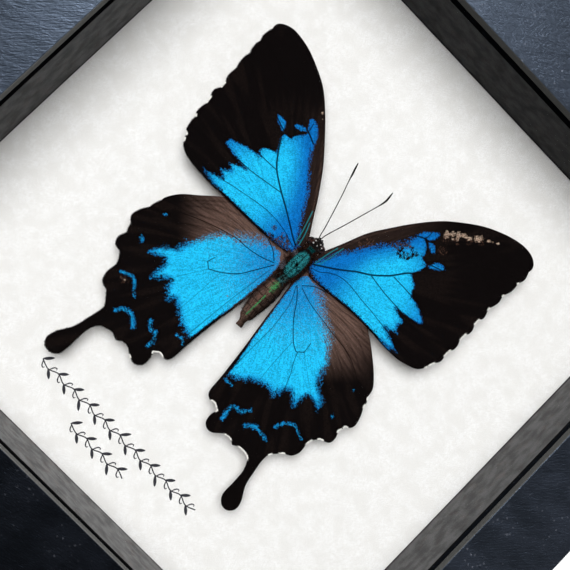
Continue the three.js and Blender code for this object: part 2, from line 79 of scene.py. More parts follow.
class Finish:
    """A surface finish built up from shader nodes, laid out in millimetres of the object."""

    def __init__(self, name):
        self.material = bpy.data.materials.new(name)
        self.material.use_nodes = True
        self.nodes = self.material.node_tree.nodes
        self.links = self.material.node_tree.links
        self.shader = self.nodes["Principled BSDF"]
        metres = self.node("ShaderNodeTexCoord").outputs["Object"]
        scaled = self.node("ShaderNodeVectorMath", {0: metres, 3: 1 / MM}, operation="SCALE")
        self.place = scaled.outputs[0]

    def feed(self, socket, value):
        if isinstance(value, bpy.types.NodeSocket):
            self.links.new(value, socket)
        else:
            socket.default_value = value

    def node(self, kind, feeds=None, **settings):
        node = self.nodes.new(kind)
        for setting, value in settings.items():
            setattr(node, setting, value)
        for socket, value in (feeds or {}).items():
            self.feed(node.inputs[socket], value)
        return node

    def coat(self, **sockets):
        """Sets the shader's own sockets, named in small letters with _ for a space."""
        by_name = {socket.name.lower().replace(" ", "_"): socket for socket in self.shader.inputs}
        for name, value in sockets.items():
            self.feed(by_name[name], value)
        return self.material

    def math(self, operation, first, second=0.0):
        return self.node("ShaderNodeMath", {0: first, 1: second}, operation=operation).outputs[0]

    def chain(self, operation, values):
        """The same sum, product or comparison, taken through several values in turn."""
        result = values[0]
        for value in values[1:]:
            result = self.math(operation, result, value)
        return result

    def plus(self, *values):
        return self.chain("ADD", values)

    def minus(self, first, second):
        return self.math("SUBTRACT", first, second)

    def times(self, *values):
        return self.chain("MULTIPLY", values)

    def most(self, *values):
        """The largest of the values."""
        return self.chain("MAXIMUM", values)

    def away(self, value, middle=0.0):
        """How far a value is from a middle one, to either side."""
        return self.math("ABSOLUTE", self.minus(value, middle))

    def axes(self):
        """The place's x, y and z."""
        return self.node("ShaderNodeSeparateXYZ", {0: self.place}).outputs

    def ease(self, value, low, high, start=0.0, end=1.0):
        """Goes smoothly from start to end as the value goes from low to high."""
        feeds = {0: value, 1: low, 2: high, 3: start, 4: end}
        return self.node("ShaderNodeMapRange", feeds, interpolation_type="SMOOTHSTEP").outputs[0]

    def mix(self, first, second, share):
        return self.node("ShaderNodeMix", {0: share, 6: first, 7: second}, data_type="RGBA").outputs[2]

    def shade(self, colour, amount):
        """A colour made lighter or darker by an amount that varies over the surface."""
        feeds = {0: 1.0, 6: colour, 7: amount}
        return self.node("ShaderNodeMix", feeds, data_type="RGBA", blend_type="MULTIPLY").outputs[2]

    def laid(self, size, turn=0.0, place=None):
        feeds = {0: self.place if place is None else place, 2: (0, 0, turn), 3: size}
        return self.node("ShaderNodeMapping", feeds, vector_type="TEXTURE").outputs[0]

    def grain(self, size, turn=0.0, detail=2.0, place=None):
        """Soft noise from 0 to 1 whose spots measure size = (along, across, up)."""
        feeds = {"Vector": self.laid(size, turn, place), "Scale": 1.0, "Detail": detail}
        return self.node("ShaderNodeTexNoise", feeds).outputs[0]

    def flecks(self, size, turn=0.0, place=None):
        """An even random value from 0 to 1 for each of many small cells."""
        feeds = {"Vector": self.laid(size, turn, place), "Scale": 1.0}
        cells = self.node("ShaderNodeTexVoronoi", feeds)
        return self.node("ShaderNodeSeparateColor", {0: cells.outputs["Color"]}).outputs[0]

    def mark(self, name):
        """A value painted on the mesh."""
        return self.node("ShaderNodeAttribute", attribute_name=name).outputs["Fac"]

    def bump(self, height, depth):
        raised = self.node("ShaderNodeBump", {"Height": height, "Distance": depth * MM})
        self.feed(self.shader.inputs["Normal"], raised.outputs[0])


def soften(node, width):
    """Takes the sharpness off a construction solid's edges and gives it smooth normals."""
    weld = node.modifiers.new("weld", "WELD")
    weld.merge_threshold = 1e-6
    bevel = node.modifiers.new("edge", "BEVEL")
    bevel.width = width * MM
    bevel.segments = 2
    bevel.limit_method = "ANGLE"
    bevel.angle_limit = math.radians(40)
    bevel.use_clamp_overlap = True
    bevel.harden_normals = True


def dress(name, material, edge=0.0):
    """Gives a construction solid its finish, and softens its edges where it has a width for them."""
    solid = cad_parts[name]
    solid.material_slots[0].material = material
    if edge:
        soften(solid, edge)


def rail_finish():
    finish = Finish("rail_finish")
    x, y, z = finish.axes()
    beyond_x = finish.minus(finish.away(x), HALF_WIDTH)
    beyond_y = finish.minus(finish.away(y), HALF_HEIGHT)
    outward = finish.most(beyond_x, beyond_y)
    upright = finish.math("GREATER_THAN", beyond_y, beyond_x)

    def by_side(left, right, bottom, top):
        """A value of its own for each of the four rails."""
        beside = finish.times(finish.ease(x, -1, 1, left, right), finish.minus(1.0, upright))
        return finish.plus(beside, finish.times(finish.ease(y, -1, 1, bottom, top), upright))

    # painted face, wrinkled like thin leather over open grain
    on_sides = finish.grain((2.6, 0.5, 0.6), SIDE_TURN, 3)
    on_ends = finish.grain((1.4, 0.42, 0.6), GRAIN_TURN, 3)
    ripple = finish.mix(on_sides, on_ends, upright)
    crossed = finish.grain((0.3, 0.9, 0.4), -0.5, 2)
    wave = finish.grain((9, 2.2, 4), GRAIN_TURN + 0.4, 3)
    pores = finish.ease(finish.grain((2.4, 0.5, 2), GRAIN_TURN, 4), 0.56, 0.72)
    cloud = finish.grain((12, 9, 10), 0.3, 4)
    face = finish.mix(tone(8, 9, 12), tone(17, 19, 24), finish.ease(cloud, 0.35, 0.65))
    face = finish.mix(face, tone(3, 3, 5), finish.times(pores, 0.8))
    dust = finish.ease(finish.flecks((0.45, 0.45, 0.45)), 0.97, 1.0)
    dust = finish.times(dust, finish.ease(cloud, 0.45, 0.62), 0.5)
    face = finish.mix(face, tone(78, 80, 86), dust)

    # the bottom rail is polished less and nearly matt, and its face is painted darker as shade
    polish_and_shade = by_side(1, 1, BOTTOM_POLISH, 1)
    face = finish.shade(face, finish.ease(polish_and_shade, BOTTOM_POLISH, 1, BOTTOM_SHADED_SHARE, 1))

    # thin grey coat of the inner wall, laid on unevenly; each wall is painted lighter or darker as shade,
    # palest on the bottom rail, darkest on the top
    patchy = finish.grain((4.5, 4.5, 3), 0, 5)
    fine = finish.grain((0.5, 0.5, 0.4), 0, 3)
    wall = finish.mix(tone(80, 80, 82), tone(98, 97, 95), fine)
    warm = finish.ease(finish.grain((3, 3, 3), 1, 4), 0.52, 0.7, 0, 0.5)
    wall = finish.mix(wall, tone(88, 82, 80), warm)
    # painted shade: a brightness of its own for each rail's wall, times the coat's real unevenness
    coat = finish.times(by_side(1.1, 0.8, 1.27, 0.43), finish.ease(patchy, 0.3, 0.7, 0.72, 1.25))
    wall = finish.shade(wall, coat)
    # painted shade: a thin dark violet line along the foot of the wall, in the corner with the paper
    foot_shade = finish.ease(z, LEDGE_HEIGHT, LEDGE_HEIGHT + 1.6, 1, 0)
    wall = finish.mix(wall, tone(22, 16, 24), foot_shade)
    lip = finish.ease(z, LIP_BOTTOM, LIP_BOTTOM + 0.1)
    # the lip's grey is painted lighter or darker on each rail, as shade
    lip_paint_and_shade = finish.shade(tone(84, 84, 82), by_side(0.7, 0.42, 0.67, 0.36))
    wall = finish.mix(wall, lip_paint_and_shade, lip)
    # painted shade: the glass groove under the lip is coloured near-black, as a deep slot in shadow
    groove_shade = finish.times(
        finish.ease(z, GROOVE_BOTTOM - 0.25, GROOVE_BOTTOM + 0.1),
        finish.ease(z, LIP_BOTTOM - 0.1, LIP_BOTTOM + 0.1, 1, 0),
    )
    wall = finish.mix(wall, tone(2, 2, 2), groove_shade)

    is_wall = finish.times(
        finish.ease(outward, 0.25, 0.4, 1, 0),
        finish.ease(z, WALL_TOP - 0.1, WALL_TOP, 1, 0),
    )
    # painted shade: the groove's faces, out to the rebate, are near-black too
    in_groove_shade = finish.times(groove_shade, finish.ease(outward, REBATE_WIDTH, REBATE_WIDTH + 1, 1, 0))
    colour = finish.mix(face, wall, is_wall)
    colour = finish.mix(colour, tone(2, 2, 2), in_groove_shade)

    # bare wood behind
    years = finish.grain((40, 1.1, 1.1), 0, 4)
    wood = finish.mix(tone(176, 142, 100), tone(214, 186, 142), years)
    low = finish.ease(z, LEDGE_HEIGHT - 0.4, LEDGE_HEIGHT - 0.2, 1, 0)
    inner = finish.ease(outward, REBATE_WIDTH + 4, REBATE_WIDTH + 4.2, 1, 0)
    rear = finish.ease(z, 0.35, 0.5, 1, 0)
    bare = finish.most(finish.times(low, inner), rear)
    sawn = finish.times(bare, finish.ease(outward, RAIL_FACE - 0.8, RAIL_FACE - 0.4, 1, 0))
    colour = finish.mix(colour, wood, sawn)

    relief = finish.plus(ripple, finish.times(wave, 1.2), finish.times(crossed, 0.55))
    finish.bump(finish.minus(relief, finish.times(pores, 0.15)), 0.14)
    dull = finish.most(is_wall, in_groove_shade, sawn)
    rough = finish.mix((0.4, 0.4, 0.4, 1), (0.9, 0.9, 0.9, 1), dull)
    return finish.coat(
        base_color=colour,
        roughness=rough,
        specular_ior_level=finish.times(finish.ease(dull, 0, 1, 0.9, 0.02), polish_and_shade),
        specular_tint=(0.55, 0.72, 1.0, 1),
    )


rail_paint = rail_finish()
for side in ("top", "left", "bottom", "right"):
    dress(f"rail_{side}", rail_paint, RAIL_ARRIS)

# ---- The mitres --------------------------------------------------------------------------------
# The rails are cut at 45 degrees and glued. The fine seam left between two of them is packed with
# black filler, which follows the moulding's section and stays a little below its surfaces.

SEAM_HALF = 0.12
SEAM_BLOCKS = (
    # inner and outer edge from the sight edge, bottom and top
    (REBATE_WIDTH + 0.3, RAIL_FACE - 0.15, 0.2, LEDGE_HEIGHT),
    (0.2, RAIL_FACE - 0.15, LEDGE_HEIGHT, GROOVE_BOTTOM),
    (4.8, RAIL_FACE - 0.15, GROOVE_BOTTOM, LIP_BOTTOM),
    (0.2, RAIL_FACE - 0.15, LIP_BOTTOM, FACE_HEIGHT - 0.1),
)
BLOCK_FACES = ((0, 1, 3, 2), (4, 6, 7, 5), (0, 4, 5, 1), (2, 3, 7, 6), (0, 2, 6, 4), (1, 5, 7, 3))


def filler_finish():
    finish = Finish("seam_filler")
    grit = finish.flecks((0.3, 0.3, 0.3))
    finish.bump(grit, 0.02)
    colour = finish.mix(tone(4, 4, 5), tone(12, 12, 14), grit)
    return finish.coat(base_color=colour, roughness=0.8, specular_ior_level=0.1)


def new_piece(name, places, faces, material, marks=None, smooth=True):
    """A mesh piece, in metres, with its painted values."""
    mesh = bpy.data.meshes.new(name)
    mesh.from_pydata([tuple(place) for place in np.asarray(places) * MM], [], faces)
    for mark, values in (marks or {}).items():
        values = np.asarray(values, float)
        if values.ndim == 1:
            layer = mesh.attributes.new(mark, "FLOAT", "POINT")
            layer.data.foreach_set("value", values)
        else:
            layer = mesh.attributes.new(mark, "FLOAT_VECTOR", "POINT")
            layer.data.foreach_set("vector", values.ravel())
    mesh.polygons.foreach_set("use_smooth", [smooth] * len(mesh.polygons))
    mesh.materials.append(material)
    mesh.update()
    piece = bpy.data.objects.new(name, mesh)
    bpy.context.scene.collection.objects.link(piece)
    return piece


def seam_fillers():
    """One upright block of filler for each step of the section, along each corner's diagonal."""
    places, faces = [], []
    for turn_x, turn_y in ((1, 1), (-1, 1), (-1, -1), (1, -1)):
        for near, far, low, high in SEAM_BLOCKS:
            start = len(places)
            for out in (near, far):
                for aside in (-SEAM_HALF, SEAM_HALF):
                    x = turn_x * (HALF_WIDTH + out + aside)
                    y = turn_y * (HALF_HEIGHT + out - aside)
                    places += [(x, y, low), (x, y, high)]
            faces += [tuple(start + i for i in face) for face in BLOCK_FACES]
    return places, faces


places, faces = seam_fillers()
seams = new_piece("mitre_filler", places, faces, filler_finish(), smooth=False)
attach(seams, "root")

# ---- The glass ---------------------------------------------------------------------------------
# One pane of clear picture glass, 2 mm thick, slid into the groove under the moulding's lip before
# the last rail is joined on. Its edges are cut and lightly ground.


def glass_finish():
    finish = Finish("picture_glass")
    smear = finish.grain((35, 20, 10), 0.5, 3)
    rough = finish.ease(smear, 0.4, 0.8, 0.0, 0.02)
    finish.coat(
        base_color=(1, 1, 1, 1),
        roughness=rough,
        ior=1.5,
        transmission_weight=1.0,
        specular_ior_level=0.05,
    )
    # lamplight goes straight through it
    passing = finish.node("ShaderNodeBsdfTransparent", {"Color": (0.98, 0.98, 0.98, 1)})
    shadow_ray = finish.node("ShaderNodeLightPath").outputs["Is Shadow Ray"]
    ways = {0: shadow_ray, 1: finish.shader.outputs[0], 2: passing.outputs[0]}
    choice = finish.node("ShaderNodeMixShader", ways)
    finish.feed(finish.nodes["Material Output"].inputs["Surface"], choice.outputs[0])
    return finish.material


dress("glass_pane", glass_finish())

# ---- The mount: paper on foam board ------------------------------------------------------------
# A sheet of white mottled paper lies over a foam board, and the back holds both in the rebate. The
# foam board is paper-faced polystyrene, soft enough to take the pin.


def paper_finish():
    finish = Finish("mottled_paper")
    clouds = finish.grain((5, 5, 4), 0, 6)
    fibres = finish.grain((1.6, 0.35, 1), 0.6, 3)
    crossed = finish.grain((0.35, 1.6, 1), 0.4, 3)
    tooth = finish.plus(fibres, crossed)
    colour = finish.mix(tone(236, 235, 232), tone(247, 247, 246), finish.ease(clouds, 0.36, 0.6))
    veil = finish.ease(tooth, 0.75, 1.25)
    colour = finish.mix(tone(235, 234, 231), colour, veil)
    finish.bump(finish.plus(tooth, finish.times(clouds, 2)), 0.05)
    return finish.coat(base_color=colour, roughness=1.0, specular_ior_level=0.0)


def board_finish():
    finish = Finish("foam_board")
    beads = finish.grain((0.6, 0.6, 0.6), 0, 3)
    finish.bump(beads, 0.08)
    colour = finish.mix(tone(225, 224, 220), tone(243, 243, 240), beads)
    return finish.coat(base_color=colour, roughness=0.9, specular_ior_level=0.2)


dress("mount_paper", paper_finish())
dress("mount_board", board_finish(), 0.15)

# ---- The wings ---------------------------------------------------------------------------------
# Four dry wings, each a film on raised veins, covered with overlapping scales: blue ones that shine,
# black and brown ones that don't. They were spread flat while the insect dried; the forewings lie
# over the hindwings, and the scales are rubbed off in places.

FILM = 0.14  # thickness of a wing
FORE_SINK = 0.07  # the film's upper side lies this much under its solid's highest point
HIND_SINK = 0.1
FRINGE_SINK = 0.12
MESH_STEP = 0.5
MARGIN_STEP = 0.36
ROW_ASIDE = 0.1  # from a vein's side to the row of points along it
KEEP_OFF = {"vein from margin": 0.16, "grid from margin": 0.22, "grid from vein": 0.24}
HAIR_SPACING = 0.07
TEAL_HALF = 0.14  # half the width of a teal line
FAR = 9.0  # distance written down where no line is near
ROOTS = {"right": (4.0, 8.0), "left": (-3.0, 8.0)}
HIND_ROOT_DROP = 5.5
RAYS_PER_RADIAN = 22

# Each outline is a closed chain of smooth runs, with a corner where two runs meet, and "outer_runs" are
# the first and last of the margin with the fringe. In "blue" every run starts with how far its edge
# fades. A bar is a short stroke of blue: its half width, its fade and its points. A vein has its half
# width and its darkness first. "pale", "worn", "rubbed" and "rust" are spots: x, y and radius.
wings = {}
wings["forewing_right"] = {
    "runs": [
        [(4.0, 15.1), (6.2, 20.4), (9.0, 27.6), (12.7, 33.8), (17.3, 40.7), (22.7, 47.4), (28.1, 52.2),
         (33.8, 56.3), (40.0, 59.3), (45.0, 60.8), (48.5, 61.1), (51.2, 60.6), (53.2, 59.3),
         (53.95, 57.8), (53.75, 56.4)],
        [(54.5, 54.3), (54.4, 52.9), (53.75, 51.4)],
        [(54.15, 49.6), (54.0, 47.6), (53.05, 45.2)],
        [(53.65, 43.2), (53.55, 41.6), (52.75, 39.0)],
        [(53.7, 36.4), (53.6, 35.2), (53.0, 34.5)],
        [(53.05, 32.3)],
        [(53.9, 30.6), (53.85, 28.8), (53.2, 28.2)],
        [(53.15, 25.6)],
        [(53.95, 23.6), (53.85, 21.8), (53.25, 21.1)],
        [(53.15, 18.5)],
        [(53.6, 17.4), (53.4, 15.9), (52.5, 14.8)],
        [(51.9, 13.0)],
        [(51.3, 11.2), (49.6, 9.3), (46.2, 8.0), (42.7, 7.2), (36.9, 7.0), (30.8, 7.3), (23.8, 7.3),
         (16.9, 6.5), (10.0, 5.8), (5.6, 5.6)],
        [(3.0, 8.6), (3.2, 12.6), (4.0, 15.1)],
    ],
    "outer_runs": (1, 12),
    "blue": [
        [
            (0.25, [(10.0, 6.3), (15.0, 6.8), (20.0, 7.5), (27.0, 7.8), (34.6, 7.6)]),
            (0.8, [(38.5, 7.6), (41.7, 8.7)]),
            (0.6, [(38.5, 9.9), (35.5, 10.8), (33.5, 11.4)]),
            (0.7, [(35.5, 11.7), (37.9, 12.8)]),
            (0.6, [(36.6, 13.8), (35.8, 14.7)]),
            (0.6, [(37.2, 16.1)]),
            (0.5, [(34.6, 17.2), (31.5, 18.0)]),
            (0.4, [(34.5, 18.4), (37.5, 19.0), (40.0, 19.7), (41.2, 20.7)]),
            (0.5, [(39.2, 22.2), (36.2, 23.4), (32.7, 24.2)]),
            (0.35, [(31.9, 25.5), (31.5, 26.7), (30.0, 27.8), (28.3, 28.8)]),
            (0.3, [(27.9, 29.6), (28.7, 30.9), (29.2, 32.6), (29.2, 34.2), (28.0, 34.8), (26.7, 34.9)]),
            (0.3, [(26.4, 36.5), (25.8, 37.8), (24.6, 38.9), (23.1, 39.9)]),
            (0.35, [(24.6, 40.3), (25.6, 42.3), (25.3, 44.5)]),
            (0.5, [(23.1, 43.0), (21.3, 41.1), (20.4, 38.8)]),
            (1.2, [(19.6, 36.1), (18.5, 33.4), (16.5, 30.7), (14.6, 28.4), (12.7, 25.7), (10.4, 22.2),
                   (8.5, 19.5), (6.9, 16.8), (5.6, 13.4)]),
            (0.9, [(4.0, 9.8), (4.2, 7.2), (6.5, 6.3), (10.0, 6.3)]),
        ],
        [
            (0.3, [(24.4, 39.8), (25.5, 40.4), (26.9, 40.4), (27.8, 39.7), (28.4, 38.8), (27.3, 38.2),
                   (26.2, 38.7), (24.4, 39.8)]),
        ],
        [
            (0.35, [(30.0, 34.2), (29.9, 35.2), (30.5, 36.6), (31.9, 37.7), (33.4, 37.9), (34.8, 37.8)]),
            (0.3, [(33.9, 36.5), (32.8, 35.6), (31.5, 34.9), (30.0, 34.2)]),
        ],
    ],
    "bars": [],
    "veins": [
        (0.26, 0.92, [(4.2, 9.0), (6.2, 10.3), (11.2, 13.8), (15.4, 17.2), (19.2, 19.7), (23.1, 23.4),
                      (25.0, 25.9), (26.5, 28.0), (28.1, 29.5), (29.0, 31.1)]),
        (0.13, 0.9, [(24.6, 24.3), (28.8, 24.3), (31.5, 24.2), (42.0, 24.0), (52.5, 22.8)]),
        (0.13, 0.9, [(19.2, 19.5), (23.1, 19.0), (26.9, 18.6), (32.7, 18.4), (42.0, 17.6), (52.3, 16.0)]),
        (0.1, 0.85, [(4.6, 7.9), (7.0, 8.6), (9.6, 10.7), (12.7, 12.2), (16.2, 12.6), (19.2, 12.4),
                     (23.1, 12.0), (26.9, 11.8), (33.5, 11.1), (42.0, 10.2), (50.5, 11.0)]),
        (0.2, 1.0, [(20.0, 38.2), (23.1, 39.9), (25.4, 40.5), (30.5, 46.0), (37.0, 52.0)]),
        (0.16, 1.0, [(23.1, 39.7), (25.4, 38.6), (26.6, 37.6)]),
        (0.1, 1.0, [(23.1, 39.9), (23.3, 42.5)]),
        (0.15, 1.0, [(29.0, 31.1), (37.0, 31.0), (52.5, 29.5)]),
        (0.15, 1.0, [(28.8, 34.9), (38.0, 38.0), (53.0, 42.5)]),
        (0.15, 1.0, [(28.0, 37.5), (40.0, 46.0), (53.2, 53.0)]),
    ],
    "pale": [(53.1, 33.4, 1.3), (53.2, 26.9, 1.5), (53.3, 19.8, 1.5), (52.1, 13.8, 1.2),
             (51.5, 11.9, 0.5), (53.8, 51.4, 0.5), (53.2, 45.2, 0.5), (52.9, 39.0, 0.6)],
    "worn": [(27.0, 45.5, 1.1), (28.2, 47.3, 0.9), (29.6, 48.6, 1.0), (30.3, 47.2, 0.7),
             (31.2, 49.6, 0.9), (33.0, 50.1, 0.8), (34.8, 51.9, 1.2), (35.5, 52.9, 0.8),
             (37.8, 54.0, 0.6), (39.0, 54.6, 0.4), (40.5, 55.6, 0.6), (29.3, 46.0, 0.5),
             (26.2, 46.6, 0.5)],
    "rubbed": [(21.0, 31.0, 1.6), (22.8, 31.8, 1.4), (23.6, 33.6, 1.2), (20.2, 34.2, 1.1),
               (22.2, 34.8, 0.8), (18.0, 31.6, 1.5), (24.6, 34.4, 0.8), (19.6, 32.6, 1.2),
               (8.6, 7.6, 0.5)],
    "rust": [(27.6, 44.4, 1.2), (30.6, 46.6, 1.2), (33.4, 49.2, 1.2), (36.4, 51.6, 1.0),
             (11.5, 26.5, 1.4), (10.4, 24.0, 1.2), (18.2, 31.4, 1.3), (20.8, 34.4, 1.1),
             (22.6, 32.0, 0.8), (29.5, 41.0, 1.5), (19.4, 33.6, 1.0), (4.4, 6.0, 1.3), (6.4, 5.7, 0.9),
             (8.6, 5.7, 0.8), (10.8, 5.8, 0.7), (13.4, 6.1, 0.6), (16.0, 6.5, 0.5)],
    "teal": [[(5.5, 10.0), (6.3, 14.0), (7.2, 19.0)], [(4.4, 9.5), (4.9, 13.5), (5.8, 17.5)]],
}
wings["forewing_left"] = {
    "runs": [
        [(-2.5, 13.8), (-5.8, 18.8), (-9.2, 24.2), (-14.6, 31.7), (-19.6, 37.4), (-26.2, 44.15),
         (-32.3, 49.3), (-38.5, 52.5), (-44.6, 54.7), (-50.4, 55.5), (-53.6, 54.9), (-55.8, 53.5),
         (-56.45, 52.0), (-56.15, 50.6)],
        [(-56.6, 48.6), (-56.6, 47.0), (-56.0, 45.5)],
        [(-56.3, 43.8), (-56.1, 42.0), (-55.5, 40.3)],
        [(-55.85, 38.4), (-55.7, 36.4), (-55.0, 33.8)],
        [(-55.25, 31.8), (-55.0, 30.0), (-54.25, 28.8)],
        [(-54.05, 26.5)],
        [(-54.9, 24.8), (-54.75, 23.2), (-54.1, 22.4)],
        [(-53.6, 19.5)],
        [(-53.95, 17.6), (-53.75, 15.9), (-53.05, 15.1)],
        [(-52.85, 12.4), (-52.2, 10.2), (-51.1, 9.2)],
        [(-50.65, 8.0), (-50.1, 7.1)],
        [(-49.3, 5.9), (-47.0, 4.7), (-43.5, 4.0), (-36.2, 3.6), (-28.5, 4.0), (-20.8, 4.3), (-10.4, 4.9),
         (-4.4, 6.0)],
        [(-2.0, 8.0), (-1.9, 11.0), (-2.5, 13.8)],
    ],
    "outer_runs": (1, 11),
    "blue": [
        [
            (0.25, [(-10.4, 5.4), (-17.7, 4.9), (-25.4, 4.7), (-31.0, 4.4)]),
            (0.8, [(-36.0, 4.4), (-40.2, 5.2)]),
            (0.6, [(-36.9, 6.6), (-33.8, 7.5)]),
            (0.7, [(-35.0, 8.2), (-36.7, 9.1)]),
            (0.6, [(-35.0, 10.2), (-33.6, 10.9)]),
            (0.6, [(-36.3, 12.2)]),
            (0.4, [(-33.8, 13.6), (-30.8, 14.5)]),
            (0.35, [(-36.9, 15.1), (-41.2, 15.5)]),
            (0.4, [(-41.2, 16.6), (-40.8, 17.6)]),
            (0.4, [(-36.9, 19.2), (-33.0, 20.1), (-30.6, 20.6)]),
            (0.35, [(-32.2, 21.7), (-31.7, 23.4), (-29.6, 24.5), (-28.0, 25.1)]),
            (0.25, [(-29.2, 26.8), (-30.4, 28.8), (-30.4, 30.6), (-28.1, 31.1)]),
            (0.25, [(-27.9, 33.0), (-26.9, 34.2), (-25.8, 35.6)]),
            (0.25, [(-26.6, 36.8), (-27.4, 38.0), (-28.3, 39.5)]),
            (0.3, [(-27.7, 40.6), (-25.4, 39.9), (-23.6, 38.4), (-21.6, 35.7)]),
            (1.0, [(-20.8, 33.2), (-18.9, 30.4), (-16.6, 28.0), (-14.4, 25.6)]),
            (1.1, [(-11.9, 22.6), (-10.0, 19.5), (-8.1, 16.5), (-5.6, 12.6), (-3.4, 9.6)]),
            (0.9, [(-3.4, 7.4), (-5.4, 5.9), (-10.4, 5.4)]),
        ],
        [
            (0.25, [(-30.2, 34.2), (-30.0, 35.7), (-27.7, 36.9), (-26.2, 36.5), (-27.7, 34.9),
                    (-30.2, 34.2)]),
        ],
        [
            (0.3, [(-36.5, 33.6), (-34.6, 33.9), (-32.7, 33.4), (-31.3, 30.5)]),
            (0.3, [(-33.5, 31.5), (-35.4, 32.4), (-36.5, 33.6)]),
        ],
    ],
    "bars": [],
    "veins": [
        (0.24, 0.92, [(-3.6, 9.0), (-6.2, 10.3), (-10.0, 12.6), (-14.6, 15.3), (-18.8, 17.6),
                      (-24.2, 21.1), (-27.3, 24.5), (-29.2, 27.2), (-30.3, 29.0)]),
        (0.13, 0.9, [(-24.6, 21.1), (-30.0, 20.8), (-42.0, 20.4), (-53.2, 18.6)]),
        (0.13, 0.9, [(-18.8, 17.2), (-23.5, 16.3), (-29.2, 15.3), (-36.0, 14.6), (-52.4, 11.8)]),
        (0.1, 0.85, [(-4.2, 8.2), (-7.3, 9.2), (-10.0, 9.9), (-15.0, 10.4), (-19.6, 10.1), (-25.4, 9.0),
                     (-30.0, 8.0), (-38.0, 6.4), (-49.6, 7.4)]),
        (0.2, 1.0, [(-22.2, 35.0), (-25.6, 36.4), (-27.6, 37.2), (-34.0, 42.5), (-41.0, 47.0)]),
        (0.15, 1.0, [(-25.8, 36.2), (-27.1, 35.0)]),
        (0.1, 1.0, [(-25.8, 36.4), (-26.6, 39.5)]),
        (0.15, 1.0, [(-30.3, 29.0), (-40.0, 28.0), (-53.4, 25.5)]),
        (0.15, 1.0, [(-30.6, 31.0), (-42.0, 34.5), (-54.6, 38.0)]),
        (0.15, 1.0, [(-30.8, 35.0), (-43.0, 43.0), (-55.6, 47.4)]),
    ],
    "pale": [(-54.2, 27.6, 1.1), (-54.0, 21.2, 1.4), (-53.3, 15.0, 0.5), (-51.3, 9.2, 0.7),
             (-50.5, 7.4, 0.6)],
    "worn": [(-27.0, 43.8, 0.5), (-25.6, 42.4, 0.3)],
    "rubbed": [(-11.0, 5.9, 0.8), (-12.2, 8.3, 0.6), (-8.6, 7.4, 1.0), (-6.5, 8.2, 0.8), (-9.6, 8.8, 0.4),
               (-6.9, 6.3, 0.7)],
    "rust": [(-8.4, 7.2, 1.9), (-12.2, 8.3, 0.9), (-6.2, 7.2, 1.6), (-12.0, 6.0, 0.6), (-7.6, 9.0, 0.7),
             (-4.4, 6.2, 1.2), (-6.4, 5.2, 0.9), (-8.6, 4.9, 0.8), (-10.8, 5.0, 0.7)],
    "teal": [[(-4.5, 10.0), (-5.5, 14.0), (-7.5, 20.0)], [(-3.2, 10.0), (-4.2, 13.6), (-5.6, 17.0)]],
}
